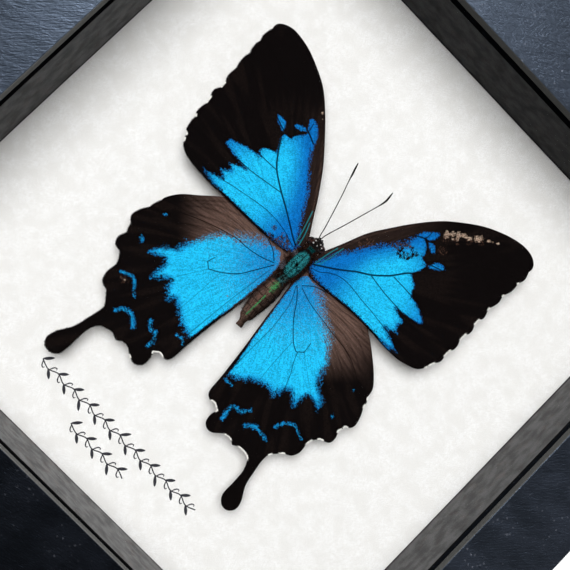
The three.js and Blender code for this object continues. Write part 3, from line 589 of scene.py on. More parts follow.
wings["hindwing_right"] = {
    "runs": [
        [(2.6, 4.0), (4.0, 7.4), (14.0, 9.0), (26.0, 9.2), (32.4, 5.95), (36.7, 2.9), (41.5, -1.05),
         (44.6, -4.5), (45.3, -7.4)],
        [(46.3, -9.2), (46.45, -10.6)],
        [(47.9, -13.3), (48.7, -16.2), (48.2, -18.0), (46.7, -18.9)],
        [(46.6, -20.0), (46.1, -21.3)],
        [(47.1, -23.6), (46.7, -25.9), (43.9, -27.1)],
        [(42.4, -29.2), (41.9, -31.0)],
        [(42.3, -34.3), (41.2, -36.8), (38.9, -38.1)],
        [(36.2, -41.4), (35.8, -44.3), (36.5, -48.6), (37.6, -53.2), (40.0, -57.4), (40.5, -60.2),
         (39.0, -62.2), (36.6, -62.2), (34.6, -59.8), (34.35, -54.8), (33.9, -50.2), (31.9, -46.7),
         (28.2, -46.2), (26.0, -47.3)],
        [(24.0, -46.3), (21.4, -46.9), (19.1, -48.8), (17.2, -49.2), (15.4, -48.1), (14.8, -45.7),
         (15.3, -43.2)],
        [(13.1, -42.05), (11.4, -42.5)],
        [(9.5, -40.8), (8.8, -34.3), (7.4, -23.8), (5.8, -13.8), (4.6, -5.4), (3.6, 0.2), (2.6, 4.0)],
    ],
    "outer_runs": (1, 10),
    "blue": [
        [
            (0.4, [(5.6, 5.3), (9.6, 5.3)]),
            (2.2, [(12.5, 4.9), (15.5, 2.6), (20.0, -0.6), (22.9, -2.2), (25.3, -4.3)]),
            (1.4, [(26.95, -6.7), (29.1, -9.05), (30.0, -11.4), (30.8, -14.3), (33.4, -16.7),
                   (36.4, -18.8), (37.2, -20.95)]),
            (1.0, [(34.3, -20.3), (31.8, -20.5)]),
            (1.2, [(31.2, -23.3), (31.4, -26.4)]),
            (1.3, [(29.1, -24.8), (26.7, -23.3)]),
            (1.5, [(25.3, -25.2), (24.6, -28.1)]),
            (1.5, [(21.0, -27.6), (18.1, -28.6), (15.8, -29.6), (14.3, -31.4), (11.95, -32.8),
                   (9.8, -33.2)]),
            (0.25, [(8.1, -23.8), (6.3, -13.8), (4.95, -5.4), (4.2, 0.0), (4.2, 3.6), (5.6, 5.3)]),
        ],
    ],
    "bars": [
        (0.45, 0.5, [(31.5, -34.3), (32.4, -31.9), (34.3, -30.2), (36.2, -29.9), (38.1, -30.7),
                     (39.8, -31.2)]),
        (0.55, 0.7, [(24.8, -40.5), (26.2, -39.05), (28.1, -38.3), (30.05, -38.8), (31.95, -39.3)]),
        (0.55, 0.7, [(22.4, -36.2), (21.0, -38.1), (19.1, -38.6), (17.7, -39.05), (17.7, -41.4),
                     (18.05, -43.8)]),
        (0.35, 0.5, [(10.05, -35.0), (11.5, -34.7), (13.3, -34.7)]),
        (0.2, 0.5, [(40.7, -9.0), (40.9, -9.3)]),
        (0.4, 0.6, [(41.2, -19.0), (41.8, -19.8)]),
    ],
    "veins": [
        (0.12, 0.92, [(5.3, 0.95), (8.6, -2.4), (11.95, -7.1), (16.7, -11.9), (19.6, -13.6)]),
        (0.12, 0.92, [(19.6, -13.6), (21.5, -11.9)]),
        (0.1, 0.85, [(21.5, -11.9), (21.0, -8.4)]),
        (0.11, 0.85, [(7.2, 1.4), (11.95, 0.0), (16.7, -0.7), (22.4, -1.4), (33.0, -3.0), (44.0, -9.0)]),
        (0.14, 0.55, [(5.3, 0.5), (7.7, -4.3), (8.6, -9.05), (9.2, -13.8), (9.2, -20.5), (9.4, -33.0)]),
        (0.09, 0.78, [(20.0, -13.3), (21.5, -16.7), (23.9, -20.95), (28.5, -33.0), (32.5, -45.0)]),
        (0.12, 0.9, [(6.5, 2.0), (9.5, 4.6), (13.0, 5.8)]),
        (0.05, 0.5, [(21.5, -11.9), (30.0, -18.0), (41.5, -26.0)]),
        (0.06, 0.65, [(16.7, -12.5), (17.5, -25.0), (20.0, -42.0)]),
    ],
    "folds": [
        [(12.0, 5.6), (20.0, 5.4), (27.0, 6.2), (31.0, 5.2)],
        [(14.0, 2.6), (22.0, 3.3), (30.0, 2.8), (37.0, 0.0)],
        [(18.0, 0.6), (26.0, 0.6), (34.0, -1.5), (41.0, -5.5)],
        [(23.0, -1.0), (30.0, -2.2), (36.0, -5.0), (41.0, -9.0)],
        [(27.0, -4.0), (33.0, -7.0), (39.0, -12.0)],
    ],
    "pale": [(45.5, -7.8, 0.9), (46.4, -10.4, 0.8), (46.9, -18.9, 0.9), (46.3, -21.1, 0.9),
             (44.2, -27.2, 1.0), (42.3, -30.2, 1.3), (38.6, -38.3, 1.0), (36.4, -41.2, 0.7),
             (30.0, -46.3, 2.6), (23.2, -46.5, 1.6), (15.2, -43.3, 0.6), (13.2, -42.1, 1.6)],
    "worn": [],
    "rubbed": [(13.2, -15.0, 0.3)],
    "rust": [(3.4, 4.6, 0.9), (4.6, 6.6, 0.9), (7.2, 7.7, 0.8), (10.0, 8.2, 0.6)],
    "teal": [],
}
wings["hindwing_left"] = {
    "runs": [
        [(-1.6, 3.4), (-3.0, 6.6), (-12.0, 7.4), (-24.0, 6.8), (-29.85, 3.6), (-35.3, -1.3),
         (-39.5, -5.2), (-41.9, -9.1), (-42.05, -10.7)],
        [(-42.8, -12.8), (-42.9, -14.4)],
        [(-44.4, -17.0), (-45.0, -19.3), (-44.6, -20.9), (-43.3, -22.0)],
        [(-43.0, -23.5), (-42.2, -24.8)],
        [(-43.1, -27.4), (-42.2, -29.6), (-39.7, -30.2)],
        [(-38.3, -32.0), (-37.5, -33.9)],
        [(-37.9, -37.4), (-36.8, -40.3), (-34.3, -41.1)],
        [(-31.4, -44.5), (-31.0, -46.4), (-31.9, -51.0), (-33.1, -55.9), (-35.6, -60.4), (-36.3, -63.5),
         (-35.2, -65.6), (-32.9, -66.1), (-30.6, -64.7), (-29.95, -61.4), (-29.7, -54.0), (-28.2, -50.5),
         (-25.6, -49.2), (-23.6, -48.8)],
        [(-21.5, -49.7), (-19.95, -48.6)],
        [(-17.6, -48.6), (-15.0, -50.2), (-12.6, -50.9), (-10.6, -49.4), (-10.4, -46.6), (-11.2, -44.4)],
        [(-9.4, -43.1), (-7.8, -43.5)],
        [(-5.9, -42.2), (-5.3, -34.9), (-4.4, -25.2), (-3.1, -16.4), (-2.4, -6.1), (-1.8, -1.0),
         (-1.6, 3.4)],
    ],
    "outer_runs": (1, 11),
    "blue": [
        [
            (0.4, [(-5.4, 4.4), (-9.4, 4.2)]),
            (2.2, [(-12.5, 3.6), (-15.6, 0.8), (-19.0, -2.2)]),
            (1.6, [(-22.0, -4.6), (-23.6, -7.0), (-25.0, -9.4), (-26.5, -11.8), (-27.8, -14.9),
                   (-28.6, -17.4)]),
            (1.0, [(-31.4, -20.0), (-33.2, -22.4), (-33.9, -24.9)]),
            (0.9, [(-31.4, -23.3), (-29.0, -22.0)]),
            (1.2, [(-27.6, -23.7), (-28.0, -27.1), (-27.3, -29.6)]),
            (1.3, [(-25.3, -27.3), (-23.1, -25.7)]),
            (1.5, [(-21.7, -28.4), (-19.7, -30.6), (-17.8, -28.8), (-14.8, -30.5), (-11.9, -32.5),
                   (-9.0, -33.4), (-6.2, -34.2)]),
            (0.25, [(-5.9, -32.0), (-5.1, -25.2), (-3.8, -16.4), (-3.0, -8.0), (-2.7, -2.0), (-3.2, 1.5),
                    (-5.4, 4.4)]),
        ],
    ],
    "bars": [
        (0.45, 0.5, [(-35.1, -34.4), (-33.4, -33.5), (-31.4, -33.0), (-29.7, -33.95), (-28.5, -35.4),
                     (-27.0, -36.9)]),
        (0.55, 0.7, [(-28.0, -43.5), (-26.5, -41.8), (-24.1, -41.0), (-22.1, -42.2), (-20.7, -43.5)]),
        (0.55, 0.7, [(-18.1, -38.3), (-16.8, -40.05), (-14.3, -40.05), (-13.6, -41.8), (-13.5, -44.4)]),
        (0.4, 0.5, [(-9.7, -35.9), (-7.5, -35.6), (-6.5, -36.6)]),
        (0.2, 0.5, [(-38.0, -12.3), (-38.4, -13.1)]),
        (0.45, 0.6, [(-38.1, -22.8), (-37.5, -23.6)]),
    ],
    "veins": [
        (0.12, 0.95, [(-4.1, 0.2), (-7.5, -5.7), (-9.95, -9.6), (-13.9, -13.0), (-17.3, -15.0)]),
        (0.12, 0.95, [(-17.3, -15.0), (-19.1, -13.5)]),
        (0.1, 0.9, [(-19.1, -13.5), (-18.4, -11.2)]),
        (0.12, 0.92, [(-4.6, 0.7), (-9.0, -1.0), (-13.9, -2.0), (-18.7, -2.5), (-29.0, -6.0),
                      (-41.5, -12.0)]),
        (0.12, 0.9, [(-5.1, 1.2), (-8.0, 3.4), (-11.0, 4.4)]),
        (0.05, 0.5, [(-17.3, -15.2), (-22.0, -23.0), (-26.5, -33.0), (-30.6, -44.0)]),
        (0.05, 0.45, [(-18.9, -13.5), (-28.0, -20.0), (-38.5, -28.5)]),
        (0.05, 0.5, [(-13.9, -13.0), (-14.5, -27.0), (-15.5, -44.0)]),
        (0.14, 0.5, [(-4.0, -2.0), (-5.6, -14.0), (-7.0, -28.0), (-8.0, -41.0)]),
    ],
    "folds": [
        [(-27.3, 3.9), (-31.0, 0.6), (-36.0, -4.4), (-40.0, -9.4)],
        [(-14.0, 1.0), (-22.0, -1.0), (-30.0, -5.0), (-37.0, -10.0)],
        [(-18.0, 1.5), (-25.0, 0.4), (-31.0, -2.4), (-36.0, -6.6)],
        [(-20.0, -3.0), (-27.0, -6.8), (-34.0, -12.0)],
        [(-22.0, 3.4), (-28.0, 1.2), (-33.0, -2.4)],
    ],
    "pale": [(-9.6, -43.4, 1.8), (-15.0, -50.3, 0.6), (-11.1, -44.6, 0.5)],
    "worn": [(-7.4, -16.6, 0.4), (-32.6, -35.2, 0.4)],
    "rubbed": [(-7.0, -15.4, 0.25), (-7.1, -17.6, 0.25), (-7.2, -19.6, 0.25), (-7.3, -21.8, 0.2)],
    "rust": [(-33.0, -35.6, 1.2), (-31.8, -34.9, 0.7), (-3.2, 5.2, 1.4), (-5.2, 6.2, 1.4),
             (-7.6, 6.6, 1.1), (-10.0, 6.9, 0.7), (-2.4, 3.4, 0.8)],
    "teal": [],
}


def through(points, step):
    """Evenly timed smooth curve through the points, without its first point."""
    points = [np.array(point, float) for point in points]
    line = []
    for i in range(len(points) - 1):
        before = points[max(i - 1, 0)]
        here, there = points[i], points[i + 1]
        after = points[min(i + 2, len(points) - 1)]
        pieces = max(2, math.ceil(np.linalg.norm(there - here) / step))
        for k in range(1, pieces + 1):
            t = k / pieces
            leave, arrive = (there - before) / 2, (after - here) / 2
            line.append(
                (2 * here - 2 * there + leave + arrive) * t**3
                + (3 * there - 3 * here - 2 * leave - arrive) * t**2
                + leave * t
                + here
            )
    return line


def traced(points, step):
    """The same curve with its first point."""
    return np.array([points[0], *through(points, step)], float)


def closed_chain(runs, step):
    """The points of a closed outline, and the number of the run each one came from."""
    line, owner = [], []
    start = runs[-1][-1]
    for number, run in enumerate(runs):
        points = [start] + [point for point in run if point != start]
        stretch = through(points, step)
        line += stretch
        owner += [number] * len(stretch)
        start = run[-1]
    return np.array(line), np.array(owner)


def nearest(places, line, closed):
    """Each place's distance to a line, and the number of the line's nearest point."""
    ends = np.roll(line, -1, axis=0) if closed else line[1:]
    starts = line if closed else line[:-1]
    span = ends - starts
    length = np.maximum((span**2).sum(1), 1e-12)
    distance = np.empty(len(places))
    owner = np.empty(len(places), int)
    for low in range(0, len(places), 2000):
        part = places[low:low + 2000]
        reach = part[:, None, :] - starts[None]
        along = np.clip((reach * span).sum(2) / length, 0, 1)
        gap = np.linalg.norm(reach - along[..., None] * span, axis=2)
        closest = gap.argmin(1)
        distance[low:low + 2000] = gap[np.arange(len(part)), closest]
        owner[low:low + 2000] = closest
    return distance, owner


def inside(places, line):
    ends = np.roll(line, -1, axis=0)
    crossings = np.zeros(len(places), int)
    for (x1, y1), (x2, y2) in zip(line, ends):
        spans = (places[:, 1] > y1) != (places[:, 1] > y2)
        if y1 != y2:
            crossings += spans & (places[:, 0] < x1 + (places[:, 1] - y1) * (x2 - x1) / (y2 - y1))
    return crossings % 2 == 1


def ease(value, low, high):
    t = np.clip((value - low) / (high - low), 0, 1)
    return t * t * (3 - 2 * t)


def blue_field(places, wing):
    """How deep each place lies in the blue, and how far the blue's edge fades there."""
    depth = np.full(len(places), -FAR)
    fade = np.full(len(places), 0.5)
    for patch in wing["blue"]:
        ring, owner = closed_chain([run for _, run in patch], 0.4)
        distance, closest = nearest(places, ring, True)
        signed = np.where(inside(places, ring), distance, -distance)
        fades = np.array([patch[number][0] for number in owner])[closest]
        better = signed / fades > depth / fade
        depth = np.where(better, signed, depth)
        fade = np.where(better, fades, fade)
    for half_width, bar_fade, run in wing["bars"]:
        line = traced(run, 0.4)
        signed = half_width - nearest(places, line, False)[0]
        better = signed / bar_fade > depth / fade
        depth = np.where(better, signed, depth)
        fade = np.where(better, bar_fade, fade)
    return depth, fade


def spots_field(places, spots):
    """From 0 to 1, strongest in the middle of each spot."""
    field = np.zeros(len(places))
    for x, y, radius in spots:
        away = np.hypot(places[:, 0] - x, places[:, 1] - y)
        field = np.maximum(field, 1 - ease(away, radius * 0.6, radius * 2.0))
    return field


def lines_field(places, lines):
    """Distance to the nearest of several lines."""
    distance = np.full(len(places), FAR)
    for run in lines:
        line = traced(run, MESH_STEP)
        distance = np.minimum(distance, nearest(places, line, False)[0])
    return distance


def wing_net(wing, margin):
    """Triangles over the blade, with rows of points along its veins and teal lines."""
    rows = []
    stripes = [(TEAL_HALF, 1.0, run) for run in wing["teal"]]
    for half_width, _, run in wing["veins"] + stripes:
        line = traced(run, MESH_STEP)
        heading = np.gradient(line, axis=0)
        heading /= np.linalg.norm(heading, axis=1)[:, None]
        aside = np.stack([-heading[:, 1], heading[:, 0]], 1) * (half_width + ROW_ASIDE)
        rows += [line, line + aside, line - aside]
    kept = np.concatenate(rows)
    kept = kept[inside(kept, margin)]
    kept = kept[nearest(kept, margin, True)[0] > KEEP_OFF["vein from margin"]]
    low, high = margin.min(0), margin.max(0)
    lift = MESH_STEP * math.sqrt(3) / 2
    grid = np.array([
        (x + (row % 2) * MESH_STEP / 2, low[1] + row * lift)
        for row in range(int((high[1] - low[1]) / lift) + 1)
        for x in np.arange(low[0], high[0], MESH_STEP)
    ])
    grid = grid[inside(grid, margin)]
    grid = grid[nearest(grid, margin, True)[0] > KEEP_OFF["grid from margin"]]
    for row in rows:
        grid = grid[nearest(grid, row, False)[0] > KEEP_OFF["grid from vein"]]
    places = np.concatenate([margin, kept, grid])
    rim = list(range(len(margin)))
    found = delaunay_2d_cdt([Vector(place) for place in places], [], [rim], 1, 1e-4, False)
    places = np.array([tuple(place) for place in found[0]])
    triangles = np.array(found[2])
    return places, triangles[inside(places[triangles].mean(1), margin)].tolist()


def fringe(wing, margin, owner, height, chance):
    """Short scales that stand out all along the outer margin, white in the notches."""
    first, last = wing["outer_runs"]
    middle = np.roll(margin, -1, axis=0)
    hairs, pale = [], []
    for i in range(len(margin)):
        if not first <= owner[i] <= last:
            continue
        start, end = margin[i - 1], middle[i - 1]
        side = end - start
        length = np.linalg.norm(side)
        outward = np.array([side[1], -side[0]]) / max(length, 1e-9)
        for share in np.arange(0, 1, HAIR_SPACING / max(length, HAIR_SPACING)):
            at = start + side * (share + chance.uniform(0, 0.03))
            white = max(
                1 - ease(math.dist(at, (x, y)), radius * 0.8, radius * 1.25)
                for x, y, radius in wing["pale"]
            )
            white *= chance.uniform(0, 1) < 0.93
            clump = 0.5 + 0.5 * math.sin(i * 2.1 + math.sin(i * 0.7) * 3)
            tip = outward + np.array([outward[1], -outward[0]]) * chance.normal(0, 0.3)
            reach = chance.uniform(0.1, 0.2) + clump * 0.2 * (1 - 0.7 * white)
            reach += white * chance.uniform(0.03, 0.12)
            width = side / max(length, 1e-9) * (0.045 + 0.03 * white)
            level = height + chance.uniform(-0.03, 0.03) + white * 0.06
            back = outward * (0.1 + 0.1 * white)
            hairs.append([(*(at - width - back), level), (*(at + width - back), level),
                          (*(at + tip * reach + width * 0.5), level + chance.uniform(-0.05, 0.05)),
                          (*(at + tip * reach - width * 0.5), level + chance.uniform(-0.05, 0.05))])
            pale.append(white)
    return np.array(hairs).reshape(-1, 3), np.repeat(pale, 4)


def wing_finish():
    finish = Finish("wing_scales")
    rays = finish.node("ShaderNodeAttribute", attribute_name="rays").outputs["Vector"]
    depth, fade = finish.mark("blue"), finish.mark("fade")
    scale = finish.flecks((0.22, 0.22, 1))
    second = finish.flecks((0.27, 0.27, 1), 0.4)
    streak = finish.grain((0.5, 8, 1), 0, 3, rays)
    comb = finish.grain((0.8, 5, 1), 0, 3, rays)

    # blue scales thin out over the width of the fade, in points that follow the veins
    combed = finish.times(fade, finish.ease(finish.mark("brown"), 0.1, 0.6, 3.2, 0.8))
    wobble = finish.times(finish.minus(comb, 0.5), combed)
    spread = finish.math("DIVIDE", finish.plus(depth, wobble), finish.times(fade, 2.2))
    crowd = finish.node("ShaderNodeMath", {0: spread, 1: 0.5}, operation="ADD", use_clamp=True).outputs[0]
    flush = finish.times(finish.mark("brown"), finish.ease(fade, 1.4, 2.2, 0, 2))
    thin = finish.ease(finish.minus(depth, flush), 0.0, 2.0, 0.24, 0.0)
    crowd = finish.minus(crowd, thin)
    soft = finish.ease(finish.mark("brown"), 0, 1, 0.1, 0.4)
    is_blue = finish.ease(finish.minus(crowd, finish.times(scale, 0.94)), finish.times(soft, -0.8), soft)

    # deep blue near the root and at the tips; rows of scales a little darker and lighter
    blue = finish.mix(tone(14, 112, 192), tone(34, 193, 246), finish.mark("glow"))
    rows = finish.ease(streak, 0.35, 0.65, -0.14, 0.06)
    blue = finish.shade(blue, finish.plus(finish.ease(second, 0, 1, 0.68, 1.18), rows))
    rim_blue = finish.ease(finish.math("DIVIDE", depth, fade), -0.2, 1.8, 1, 0)
    rim_share = finish.ease(finish.mark("brown"), 0, 0.6, 0.75, 0.1)
    blue = finish.mix(blue, tone(10, 90, 168), finish.times(rim_blue, rim_share))

    # black and brown scales, with the brown ones curled up and frayed in places
    # painted shade: the brown is darker along the fold lines, as in the creases
    fold_shade = finish.ease(finish.mark("fold"), 0.0, 0.5, 0.5, 1.0)
    brown = finish.mix(tone(76, 59, 51), tone(112, 88, 79), finish.ease(streak, 0.3, 0.7))
    brown = finish.shade(brown, finish.times(fold_shade, finish.ease(second, 0, 1, 0.85, 1.1)))
    ray = finish.ease(finish.grain((1.5, 24, 1), 0, 1, rays), 0.5, 0.62)
    black = finish.mix(tone(13, 10, 10), tone(25, 19, 17), finish.times(ray, second))
    dark = finish.mix(black, brown, finish.mark("brown"))
    curls = finish.most(finish.grain((0.3, 1.3, 1), 0.3, 2), finish.grain((0.3, 1.3, 1), 1.5, 2))
    half_rust = finish.times(finish.mark("rust"), 0.54)
    rust = finish.ease(finish.plus(half_rust, curls), 1.0, 1.12)
    frayed = finish.mix(tone(14, 11, 11), tone(80, 58, 48), finish.ease(curls, 0.53, 0.7))
    dark = finish.mix(dark, frayed, rust)

    # rubbed and frayed places have lost their blue
    half_rubbed = finish.times(finish.mark("rubbed"), 0.5)
    is_rubbed = finish.ease(finish.plus(half_rubbed, curls), 0.98, 1.04)
    bare = finish.most(is_rubbed, finish.times(rust, 0.9))
    is_blue = finish.times(is_blue, finish.minus(1.0, bare))
    colour = finish.mix(dark, blue, is_blue)

    # broken teal lines at the front edge, and the veins
    broken = finish.ease(finish.grain((0.5, 2.5, 1), 0, 2, rays), 0.24, 0.42)
    teal = finish.times(finish.mark("teal"), broken)
    colour = finish.mix(colour, tone(18, 124, 134), teal)
    vein = finish.times(finish.ease(finish.mark("vein"), -0.06, 0.12, 1, 0), finish.mark("dark"))
    colour = finish.mix(colour, finish.mix(black, tone(4, 24, 40), is_blue), vein)

    # bare film where scales were scratched off
    scratch = finish.most(finish.grain((0.22, 1.1, 1), 0.9, 2), finish.grain((0.22, 1.3, 1), -0.6, 2))
    worn = finish.ease(finish.plus(finish.times(finish.mark("worn"), 0.5), scratch), 0.97, 1.06)
    tan = finish.mix(tone(120, 88, 70), tone(206, 184, 164), second)
    colour = finish.mix(colour, tan, worn)

    # brown underside, white fringe
    below = finish.mix(tone(58, 44, 36), tone(92, 74, 60), streak)
    colour = finish.mix(colour, below, finish.mark("under"))
    colour = finish.mix(colour, tone(240, 238, 232), finish.mark("pale"))
    finish.bump(finish.plus(finish.times(scale, 0.4), streak), 0.05)
    return finish.coat(base_color=colour, roughness=0.7, specular_ior_level=0.0)


FRINGE_MARKS = {"blue": -FAR, "fade": 0.5, "vein": FAR, "fold": FAR}  # nought for the other marks
wing_material = wing_finish()
chance = np.random.default_rng(7)
for name, wing in wings.items():
    side = name.split("_")[1]
    fore = name.startswith("fore")
    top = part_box(name)[1].z / MM
    margin, owner = closed_chain(wing["runs"], MARGIN_STEP)
    places, triangles = wing_net(wing, margin)
    root = np.array(ROOTS[side]) - (0, 0 if fore else HIND_ROOT_DROP)
    reach = np.hypot(*(places - root).T)
    angle = np.arctan2(places[:, 1] - root[1], np.abs(places[:, 0] - root[0]))
    rays = np.stack([angle * RAYS_PER_RADIAN, reach, np.zeros(len(places))], 1)
    depth, fade = blue_field(places, wing)

    vein = np.full(len(places), FAR)
    dark = np.zeros(len(places))
    ridge = np.zeros(len(places))
    for half_width, strength, run in wing["veins"]:
        distance = nearest(places, traced(run, MESH_STEP), False)[0]
        dark = np.where(distance - half_width < vein, strength, dark)
        vein = np.minimum(vein, distance - half_width)
        ridge = np.maximum(ridge, half_width * 0.4 * np.exp(-((distance / (half_width + 0.08)) ** 2)))
    fold = lines_field(places, wing.get("folds", []))

    if fore:
        costa = nearest(places, traced(wing["runs"][0], 0.6), False)[0]
        brown = (1 - ease(costa, 3.0, 7.5)) * (1 - ease(reach, 26, 50)) * 0.13
        # painted highlight: a paler brown line just inside the front edge, where the costal rib catches
        # the light
        rib_highlight = 0.4 * np.exp(-(((costa - 0.8) / 0.3) ** 2)) * (1 - ease(reach, 24, 44))
        brown = np.maximum(brown, rib_highlight)
        glow = ease(reach, 6, 20.5) * (1 - 0.85 * ease(reach, 28, 40)) * ease(costa, 4.6, 12.5)
        wave = np.zeros(len(places))
    else:
        inner_margin = np.array([wing["runs"][-2][-1], *wing["runs"][-1]], float)
        inner = nearest(places, inner_margin, False)[0]
        brown = 1 - ease(reach + 0.5 * np.maximum(0, -4 - places[:, 1]), 19, 39)
        brown *= 0.25 + 0.75 * ease(inner, 0.8, 2.2)
        glow = 0.28 + 0.72 * ease(reach, 4, 22)
        wave = -0.05 * np.exp(-((fold / 0.8) ** 2)) + 0.05 * np.sin(angle * 14) * ease(reach, 8, 20)
    level = top - (FORE_SINK if fore else HIND_SINK) + ridge + wave
    marks = {
        "blue": depth,
        "fade": fade,
        "vein": vein,
        "dark": dark,
        "brown": brown,
        "glow": glow,
        "fold": fold,
        "worn": spots_field(places, wing["worn"]),
        "rubbed": spots_field(places, wing["rubbed"]),
        "rust": spots_field(places, wing["rust"]),
        "teal": 1 - ease(lines_field(places, wing["teal"]), TEAL_HALF, TEAL_HALF + 0.1),
        "pale": np.zeros(len(places)),
        "under": np.zeros(len(places)),
    }

    # both faces of the film, joined round the rim, then the fringe
    upper = np.column_stack([places, level])
    lower = np.column_stack([places, level - FILM])
    count = len(places)
    faces = [tuple(face) for face in triangles]
    faces += [tuple(count + i for i in reversed(face)) for face in triangles]
    edges = {(start, end) for face in triangles for start, end in zip(face, [*face[1:], face[0]])}
    for start, end in sorted(edges):
        if (end, start) not in edges:
            faces.append((start, count + start, count + end, end))
    tufts, pale = fringe(wing, margin, owner, top - FRINGE_SINK, chance)
    faces += [tuple(range(2 * count + i, 2 * count + i + 4)) for i in range(0, len(tufts), 4)]
    for mark, values in marks.items():
        plain = FRINGE_MARKS.get(mark, 0.0)
        tail = pale if mark == "pale" else np.full(len(tufts), plain)
        below = np.ones(count) if mark == "under" else values
        marks[mark] = np.concatenate([values, below, tail])
    marks["rays"] = np.concatenate([rays, rays, tufts])
    piece = new_piece(name, np.concatenate([upper, lower, tufts]), faces, wing_material, marks)
    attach(piece, "root")
    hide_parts(name)

# ---- The body ----------------------------------------------------------------------------------
# Head, thorax, abdomen, palps and folded legs, dried in one piece. Hard dark skin carries green-blue
# scales along the back and a coat of brown and grey hair at the neck and where the wings join.

TRUNK = [
    # middle x, y, z, half width, half height
    (0.55, 16.1, 17.0, 0.7, 0.6), (0.6, 15.4, 17.1, 1.8, 1.4), (0.65, 13.8, 17.2, 2.4, 1.9),
    (0.6, 12.3, 17.2, 2.1, 1.7), (0.55, 11.3, 17.1, 1.6, 1.5), (0.5, 10.4, 17.2, 1.9, 1.9),
    (0.5, 8.2, 17.4, 2.7, 2.7), (0.5, 5.4, 17.5, 3.0, 3.0), (0.5, 2.6, 17.4, 2.8, 2.7),
    (0.5, 0.4, 17.2, 2.2, 2.1), (0.5, -1.6, 17.0, 2.2, 1.9), (0.55, -4.0, 17.0, 2.9, 2.3),
    (0.6, -7.4, 17.0, 3.2, 2.6), (0.65, -10.8, 16.9, 3.0, 2.4), (0.75, -14.4, 16.8, 2.4, 2.0),
    (0.9, -16.8, 16.7, 2.0, 1.5), (1.05, -17.9, 16.6, 1.3, 1.1), (1.3, -19.0, 16.6, 1.05, 0.95),
    (1.45, -20.1, 16.6, 1.15, 0.95), (1.5, -20.6, 16.6, 1.1, 0.9),
]
HAIR_BANDS = (
    # y from and to, tilt from the side up from and to, number and greatest length of the hairs
    (9.4, 12.2, -0.3, 0.9, 1100, 1.7),
    (0.0, 9.8, 0.0, 0.72, 2600, 1.5),
    (-2.8, 0.4, -0.2, 1.2, 420, 1.0),
    (-16.5, -2.8, -0.3, 0.5, 700, 0.6),
    (12.4, 13.2, 0.9, 1.5, 60, 0.3),
)
EYES = [(-1.3, 13.6, 17.5), (2.55, 13.8, 17.5)]
HEAD_GLINTS = [
    # x, y and radius of the painted highlights on the head, small white spots
    (-0.5, 14.6, 0.16), (-0.6, 13.5, 0.18), (1.45, 14.7, 0.18), (2.4, 14.1, 0.15), (0.8, 13.6, 0.1),
]
HEAD_TOP = 17.4  # the painted highlights lie above this height
GREY_HAIR = 1.5  # mark of a grey hair; from black to brown they go from 0 to 1
HAIR_POINTS = 7
EYE_RADIUS = 1.45
MIDLINE = 0.5
LEG_ROWS = (9.4, 6.2, 2.8)
ABDOMEN_TOP = -1.6
SEGMENT = 2.45  # from one ring of the abdomen to the next
CHEST_MIDDLE = 5.2
CHEST_HALF_LENGTH = 4.9
CHEST_HALF_WIDTH = 2.5


def rod(stations, step, sides):
    """Points and faces of a closed rod through stations of x, y, z, half width and half height."""
    line = traced(stations, step)
    heading = np.gradient(line[:, :3], axis=0)
    heading /= np.linalg.norm(heading, axis=1)[:, None]
    aside = np.cross(heading, (0, 0, 1))
    aside /= np.linalg.norm(aside, axis=1)[:, None]
    rise = np.cross(aside, heading)
    turn = np.linspace(0, 2 * np.pi, sides, endpoint=False)
    rings = (
        line[:, None, :3]
        + aside[:, None] * (line[:, 3, None] * np.cos(turn))[..., None]
        + rise[:, None] * (line[:, 4, None] * np.sin(turn))[..., None]
    )
    faces = []
    for i in range(len(line) - 1):
        for j in range(sides):
            here, beside = i * sides + j, i * sides + (j + 1) % sides
            faces.append((here, here + sides, beside + sides, beside))
    last = (len(line) - 1) * sides
    faces.append(tuple(range(sides)))
    faces.append(tuple(range(last + sides - 1, last - 1, -1)))
    return rings.reshape(-1, 3), faces


def ball(middle, radius, rows):
    places, faces = [], []
    columns = rows * 2
    for i in range(1, rows):
        lift = math.pi * i / rows
        for j in range(columns):
            turn = 2 * math.pi * j / columns
            places.append((
                middle[0] + radius * math.sin(lift) * math.cos(turn),
                middle[1] + radius * math.sin(lift) * math.sin(turn),
                middle[2] + radius * math.cos(lift),
            ))
    for i in range(rows - 2):
        for j in range(columns):
            here, beside = i * columns + j, i * columns + (j + 1) % columns
            faces.append((here, here + columns, beside + columns, beside))
    top, bottom = len(places), len(places) + 1
    places += [(middle[0], middle[1], middle[2] + radius), (middle[0], middle[1], middle[2] - radius)]
    last = (rows - 2) * columns
    for j in range(columns):
        faces.append((top, j, (j + 1) % columns))
        faces.append((bottom, last + (j + 1) % columns, last + j))
    return np.array(places), faces


def strands(roots, directions, lengths, widths, chance):
    """Flat tapered hairs that bend a little on their way."""
    places, faces = [], []
    for root, direction, length, width in zip(roots, directions, lengths, widths):
        direction = direction / np.linalg.norm(direction)
        across = np.cross(direction, (0, 0, 1)) + chance.normal(0, 0.2, 3)
        across *= width / np.linalg.norm(across)
        bend = chance.normal(0, 0.18, 3) * length
        start = len(places)
        for share, taper in ((0, 1.0), (0.4, 0.85), (0.75, 0.5)):
            spot = root + direction * length * share + bend * share**2
            places += [spot - across * taper, spot + across * taper]
        places.append(root + direction * length + bend)
        faces += [(start, start + 1, start + 3, start + 2), (start + 2, start + 3, start + 5, start + 4),
                  (start + 4, start + 5, start + 6)]
    return np.array(places), faces


def gather(parts):
    """One list of points and faces from several, and the part that each point came from."""
    places = np.concatenate([part for part, _ in parts])
    owner = np.repeat(np.arange(len(parts)), [len(part) for part, _ in parts])
    faces, base = [], 0
    for part, own_faces in parts:
        faces += [tuple(base + i for i in face) for face in own_faces]
        base += len(part)
    return places, faces, owner


def trunk_at(y, column):
    """One of the trunk's five measures at any y."""
    return np.interp(y, [row[1] for row in TRUNK[::-1]], [row[column] for row in TRUNK[::-1]])


